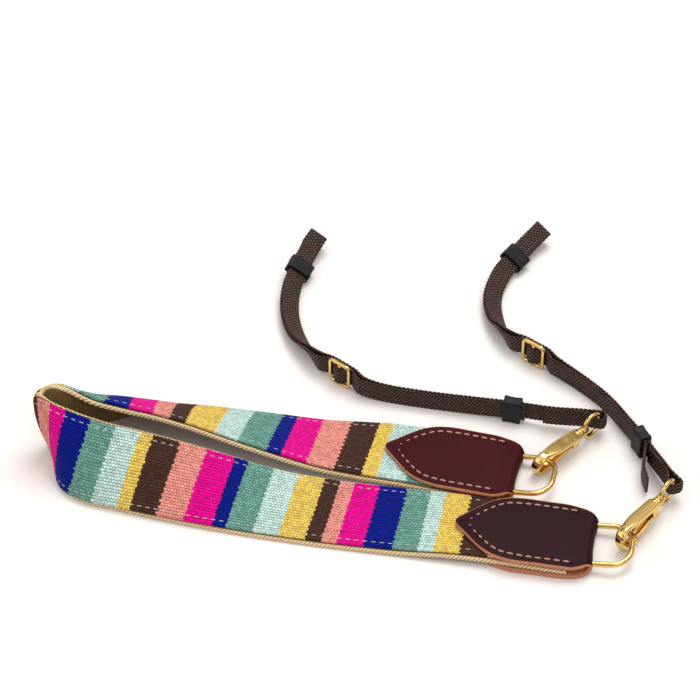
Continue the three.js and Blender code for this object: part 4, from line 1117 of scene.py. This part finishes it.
def smooth_leather(name, colour, dark):
    # Smooth finished bridle leather with a fine 0.5 mm grain: an even surface, nearly matt,
    # a little cloudy in tone
    material, tree, surface = new_material(name)
    place = own_place(tree)
    cloud = noise(tree, place, 45.0, 3.0, 0.6)
    grain = add(tree, "ShaderNodeTexVoronoi", {"Vector": place, "Scale": 1900.0}).outputs[0]
    relief = maths(tree, "ADD", grain, noise(tree, place, 600.0, 4.0))
    feed(tree, surface, {
        "Base Color": between(tree, cloud, dark, colour),
        "Normal": bump(tree, relief, 0.0001, 0.35),
        "Roughness": ranged(tree, cloud, 0.42, 0.55), "Specular IOR Level": 0.08})
    return material


def raw_leather():
    # Cut edge and flesh side of vegetable-tanned leather: tan, fibrous and matt
    material, tree, surface = new_material("raw_cut_leather")
    stretch = add(tree, "ShaderNodeMapping", {"Vector": own_place(tree),
                                              "Scale": (1.0, 1.0, 5.0)}).outputs[0]
    fibre = noise(tree, stretch, 500.0, 5.0, 0.7)
    feed(tree, surface, {
        "Base Color": between(tree, fibre, "#93502F", "#DB9A70"),
        "Normal": bump(tree, fibre, 0.0002, 0.5), "Roughness": 0.75})
    return material


def polished_brass(name, low, high):
    # Polished brass: warm yellow, nearly a mirror, with fine unevenness of about 0.5 mm
    material, tree, surface = new_material(name)
    place = own_place(tree)
    wear = noise(tree, place, 260.0, 5.0, 0.65)
    feed(tree, surface, {
        "Base Color": between(tree, wear, "#D2A656", "#F0D28C"),
        "Normal": bump(tree, noise(tree, place, 1800.0), 0.00003, 0.1),
        "Roughness": ranged(tree, wear, low, high, start=0.3, stop=0.7), "Metallic": 1.0})
    return material


def moulded_nylon():
    # Moulded black nylon: matt with a fine spark-eroded grain of about 0.4 mm
    material, tree, surface = new_material("black_moulded_nylon")
    grain = noise(tree, own_place(tree), 2400.0, 3.0)
    feed(tree, surface, {
        "Base Color": between(tree, grain, "#0B0B0D", "#17171A"),
        "Normal": bump(tree, grain, 0.0001, 0.4),
        "Roughness": 0.55, "Specular IOR Level": 0.3})
    return material


def sewing_thread(name, colour, dark, pitch):
    # Plied sewing thread: diagonal plies across each stitch with painted shade in the grooves
    # between them, a soft sheen
    material, tree, surface = new_material(name)
    plies = add(tree, "ShaderNodeTexWave", {"Vector": cloth_place(tree), "Scale": 1 / pitch},
                bands_direction="DIAGONAL").outputs[0]
    feed(tree, surface, {
        "Base Color": between(tree, plies, dark, colour),
        "Normal": bump(tree, plies, 0.0001, 0.5), "Roughness": 0.7})
    return material


def painted_hole_shadow():
    # Pricked hole marks: painted shadow, dark where each hole lies in shade
    material, tree, surface = new_material("pricked_hole_shadow")
    fibre = noise(tree, own_place(tree), 900.0)
    feed(tree, surface, {"Base Color": between(tree, fibre, "#0A0506", "#1A0C0D"),
                         "Roughness": 0.9})
    return material


# The pieces
weave = striped_weave()
webbing = cotton_webbing()
edge_cord = twisted_edge()
tether_cloth = tether_webbing()
raw = raw_leather()
leathers = {"front": smooth_leather("dark_brown_leather", "#35121A", "#210A10"),
            "back": smooth_leather("oxblood_leather", "#480B15", "#2F070D")}
bright = polished_brass("polished_brass", 0.1, 0.2)
satin = polished_brass("satin_brass", 0.12, 0.2)
nylon = moulded_nylon()
white_thread = sewing_thread("white_polyester_thread", "#DDD6CC", "#B5AEA4", 0.5)
tab_thread = sewing_thread("rose_brown_waxed_thread", "#D2A18C", "#9C6A57", 0.6)
hole = painted_hole_shadow()

face_part, band_length = woven_face()
face = make_piece("woven_face", face_part, [weave], "root", ["band_face"])
stitches = make_piece("face_topstitch", topstitch(), [white_thread], "root")
backing = make_piece("webbing_backing", cotton_backing(), [webbing, edge_cord], "root",
                     ["band_backing"])

thread_part, hole_shadow_part = tab_stitches()
for side, tab in TABS.items():
    turn = turned(tab["angle"])
    make_piece(f"leather_tab_{side}", placed(leather_tab(), turn, tab["tip"]),
               [leathers[side], raw], "root", [f"tab_{side}"])
    make_piece(f"tab_stitches_{side}", placed(thread_part, turn, tab["tip"]), [tab_thread],
               "root")
    # dark marks of painted shadow in each pricked hole of the tab
    make_piece(f"tab_stitch_hole_shadows_{side}", placed(hole_shadow_part, turn, tab["tip"]), [hole],
               "root")
    tilt = np.radians(tab["ring_tilt"])
    leaned = np.array([[np.cos(tilt), 0, -np.sin(tilt)], [0, 1, 0],
                       [np.sin(tilt), 0, np.cos(tilt)]])
    ring = placed(tab_ring(), leaned, (RING_BAR_X, 0, LEATHER_WALL + TAB_POCKET / 2))
    make_piece(f"oval_ring_{side}", placed(ring, turn, tab["tip"]), [bright], "root",
               [f"ring_{side}"])

    hook = HOOKS[side]
    frames = tether_frames(side, 4.0)
    start = at_row(frames, 0)
    wire = start["p"] - start["along"] * EYE_WIRE_FORWARD
    axes = turned(hook["angle"])
    origin = wire + axes[:, 0] * (EYE_RADIUS + EYE_TO_COLLAR)
    origin[2] = hook["height"]
    roll = np.radians(hook["roll"])
    rolled = axes @ np.array([[1, 0, 0], [0, np.cos(roll), -np.sin(roll)],
                              [0, np.sin(roll), np.cos(roll)]])
    make_piece(f"swivel_eye_{side}", placed(joined(hook_eye()), axes, origin), [bright],
               "root", [f"hook_eye_{side}"])
    body = joined([hook_body(), hook_collar()] + hook_cheeks())
    make_piece(f"snap_hook_{side}", placed(body, rolled, origin), [satin],
               f"hook_{side}", [f"hook_body_{side}"])
    lever = placed(joined(hook_gate()), np.eye(3), GATE_PIVOT)
    make_piece(f"snap_gate_{side}", placed(lever, rolled, origin), [satin],
               f"gate_lever_{side}", [f"hook_gate_{side}"])

    strip, strip_length = tether_part(side)
    tether = make_piece(f"tether_webbing_{side}", strip, [tether_cloth], "root",
                        [f"tether_{side}"])
    for end, knot in KEEPER_KNOTS.items():
        place = at_knot(frames, knot)
        make_piece(f"keeper_sleeve_{side}_{end}", placed(keeper_part(), tether_axes(place),
                                                         place["p"]),
                   [nylon], "root", [f"keeper_{side}_{end}"])
    place = at_knot(frames, SLIDER_KNOT)
    make_piece(f"wire_slider_{side}", placed(slider_part(), tether_axes(place), place["p"]),
               [bright], "root", [f"slider_{side}"])

# Floor, light and camera
floor_size = 6.0
floor_mesh = bpy.data.meshes.new("pale_floor")
h = floor_size / 2
floor_mesh.from_pydata([(-h, -h, 0), (h, -h, 0), (h, h, 0), (-h, h, 0)], [], [(0, 1, 2, 3)])
floor = bpy.data.objects.new("pale_floor", floor_mesh)
bpy.context.scene.collection.objects.link(floor)
# Matt white paper: it gives the object a soft shadow and no mirror image
paper, tree, surface = new_material("matt_white_paper")
feed(tree, surface, {"Base Color": linear("#F6F2F0"), "Roughness": 0.9})
floor_mesh.materials.append(paper)


def softbox(name, place, aim, size, power, colour=(1, 1, 1)):
    """A square area light at a place, turned to face aim."""
    light = bpy.data.lights.new(name, "AREA")
    light.shape = "SQUARE"
    light.size = size
    light.energy = power
    light.color = colour
    lamp = bpy.data.objects.new(name, light)
    lamp.location = place
    way = np.array(aim, float) - np.array(place, float)
    lamp.rotation_euler = (np.arctan2(np.hypot(way[0], way[1]), -way[2]), 0,
                           np.arctan2(way[1], way[0]) - np.pi / 2)
    bpy.context.scene.collection.objects.link(lamp)


softbox("key_softbox", (0.3, 0.45, 1.25), (0, 0, 0), 0.8, 10)
softbox("fill_softbox", (-0.9, -0.2, 0.9), (0, 0, 0), 0.9, 2.6)
softbox("front_softbox", (0.5, -0.9, 0.9), (0, 0, 0), 0.7, 2.2)
# Studio air: bright above, with two darker bands, near the horizon and half way up, that
# the brass mirrors
world = bpy.data.worlds.new("studio_air")
world.use_nodes = True
air = world.node_tree
sky = add(air, "ShaderNodeTexCoord")
height = add(air, "ShaderNodeSeparateXYZ", {0: sky.outputs["Generated"]})
shade = add(air, "ShaderNodeValToRGB", {0: height.outputs[2]})
stops = shade.color_ramp.elements
for place, grey in ((0.12, 0.1), (0.3, 0.2), (0.42, 1.0), (0.56, 1.0), (0.66, 0.3),
                    (0.76, 0.3), (0.88, 1.0)):
    stops.new(place).color = (grey, 0.955 * grey, 0.925 * grey, 1)
stops[0].color, stops[-1].color = (0.5, 0.47, 0.455, 1), (1, 0.97, 0.955, 1)
air.links.new(shade.outputs[0], air.nodes["Background"].inputs[0])
air.nodes["Background"].inputs[1].default_value = 0.95
bpy.context.scene.world = world
bpy.context.scene.view_settings.view_transform = "Standard"

camera = bpy.data.cameras.new("studio_camera")
camera.lens = 118.3
camera.sensor_width = 36
eye = bpy.data.objects.new("studio_camera", camera)
eye.location = (-0.0032, -0.8356, 0.7822)
eye.rotation_euler = (np.radians(48), 0, 0)
bpy.context.scene.collection.objects.link(eye)
bpy.context.scene.camera = eye
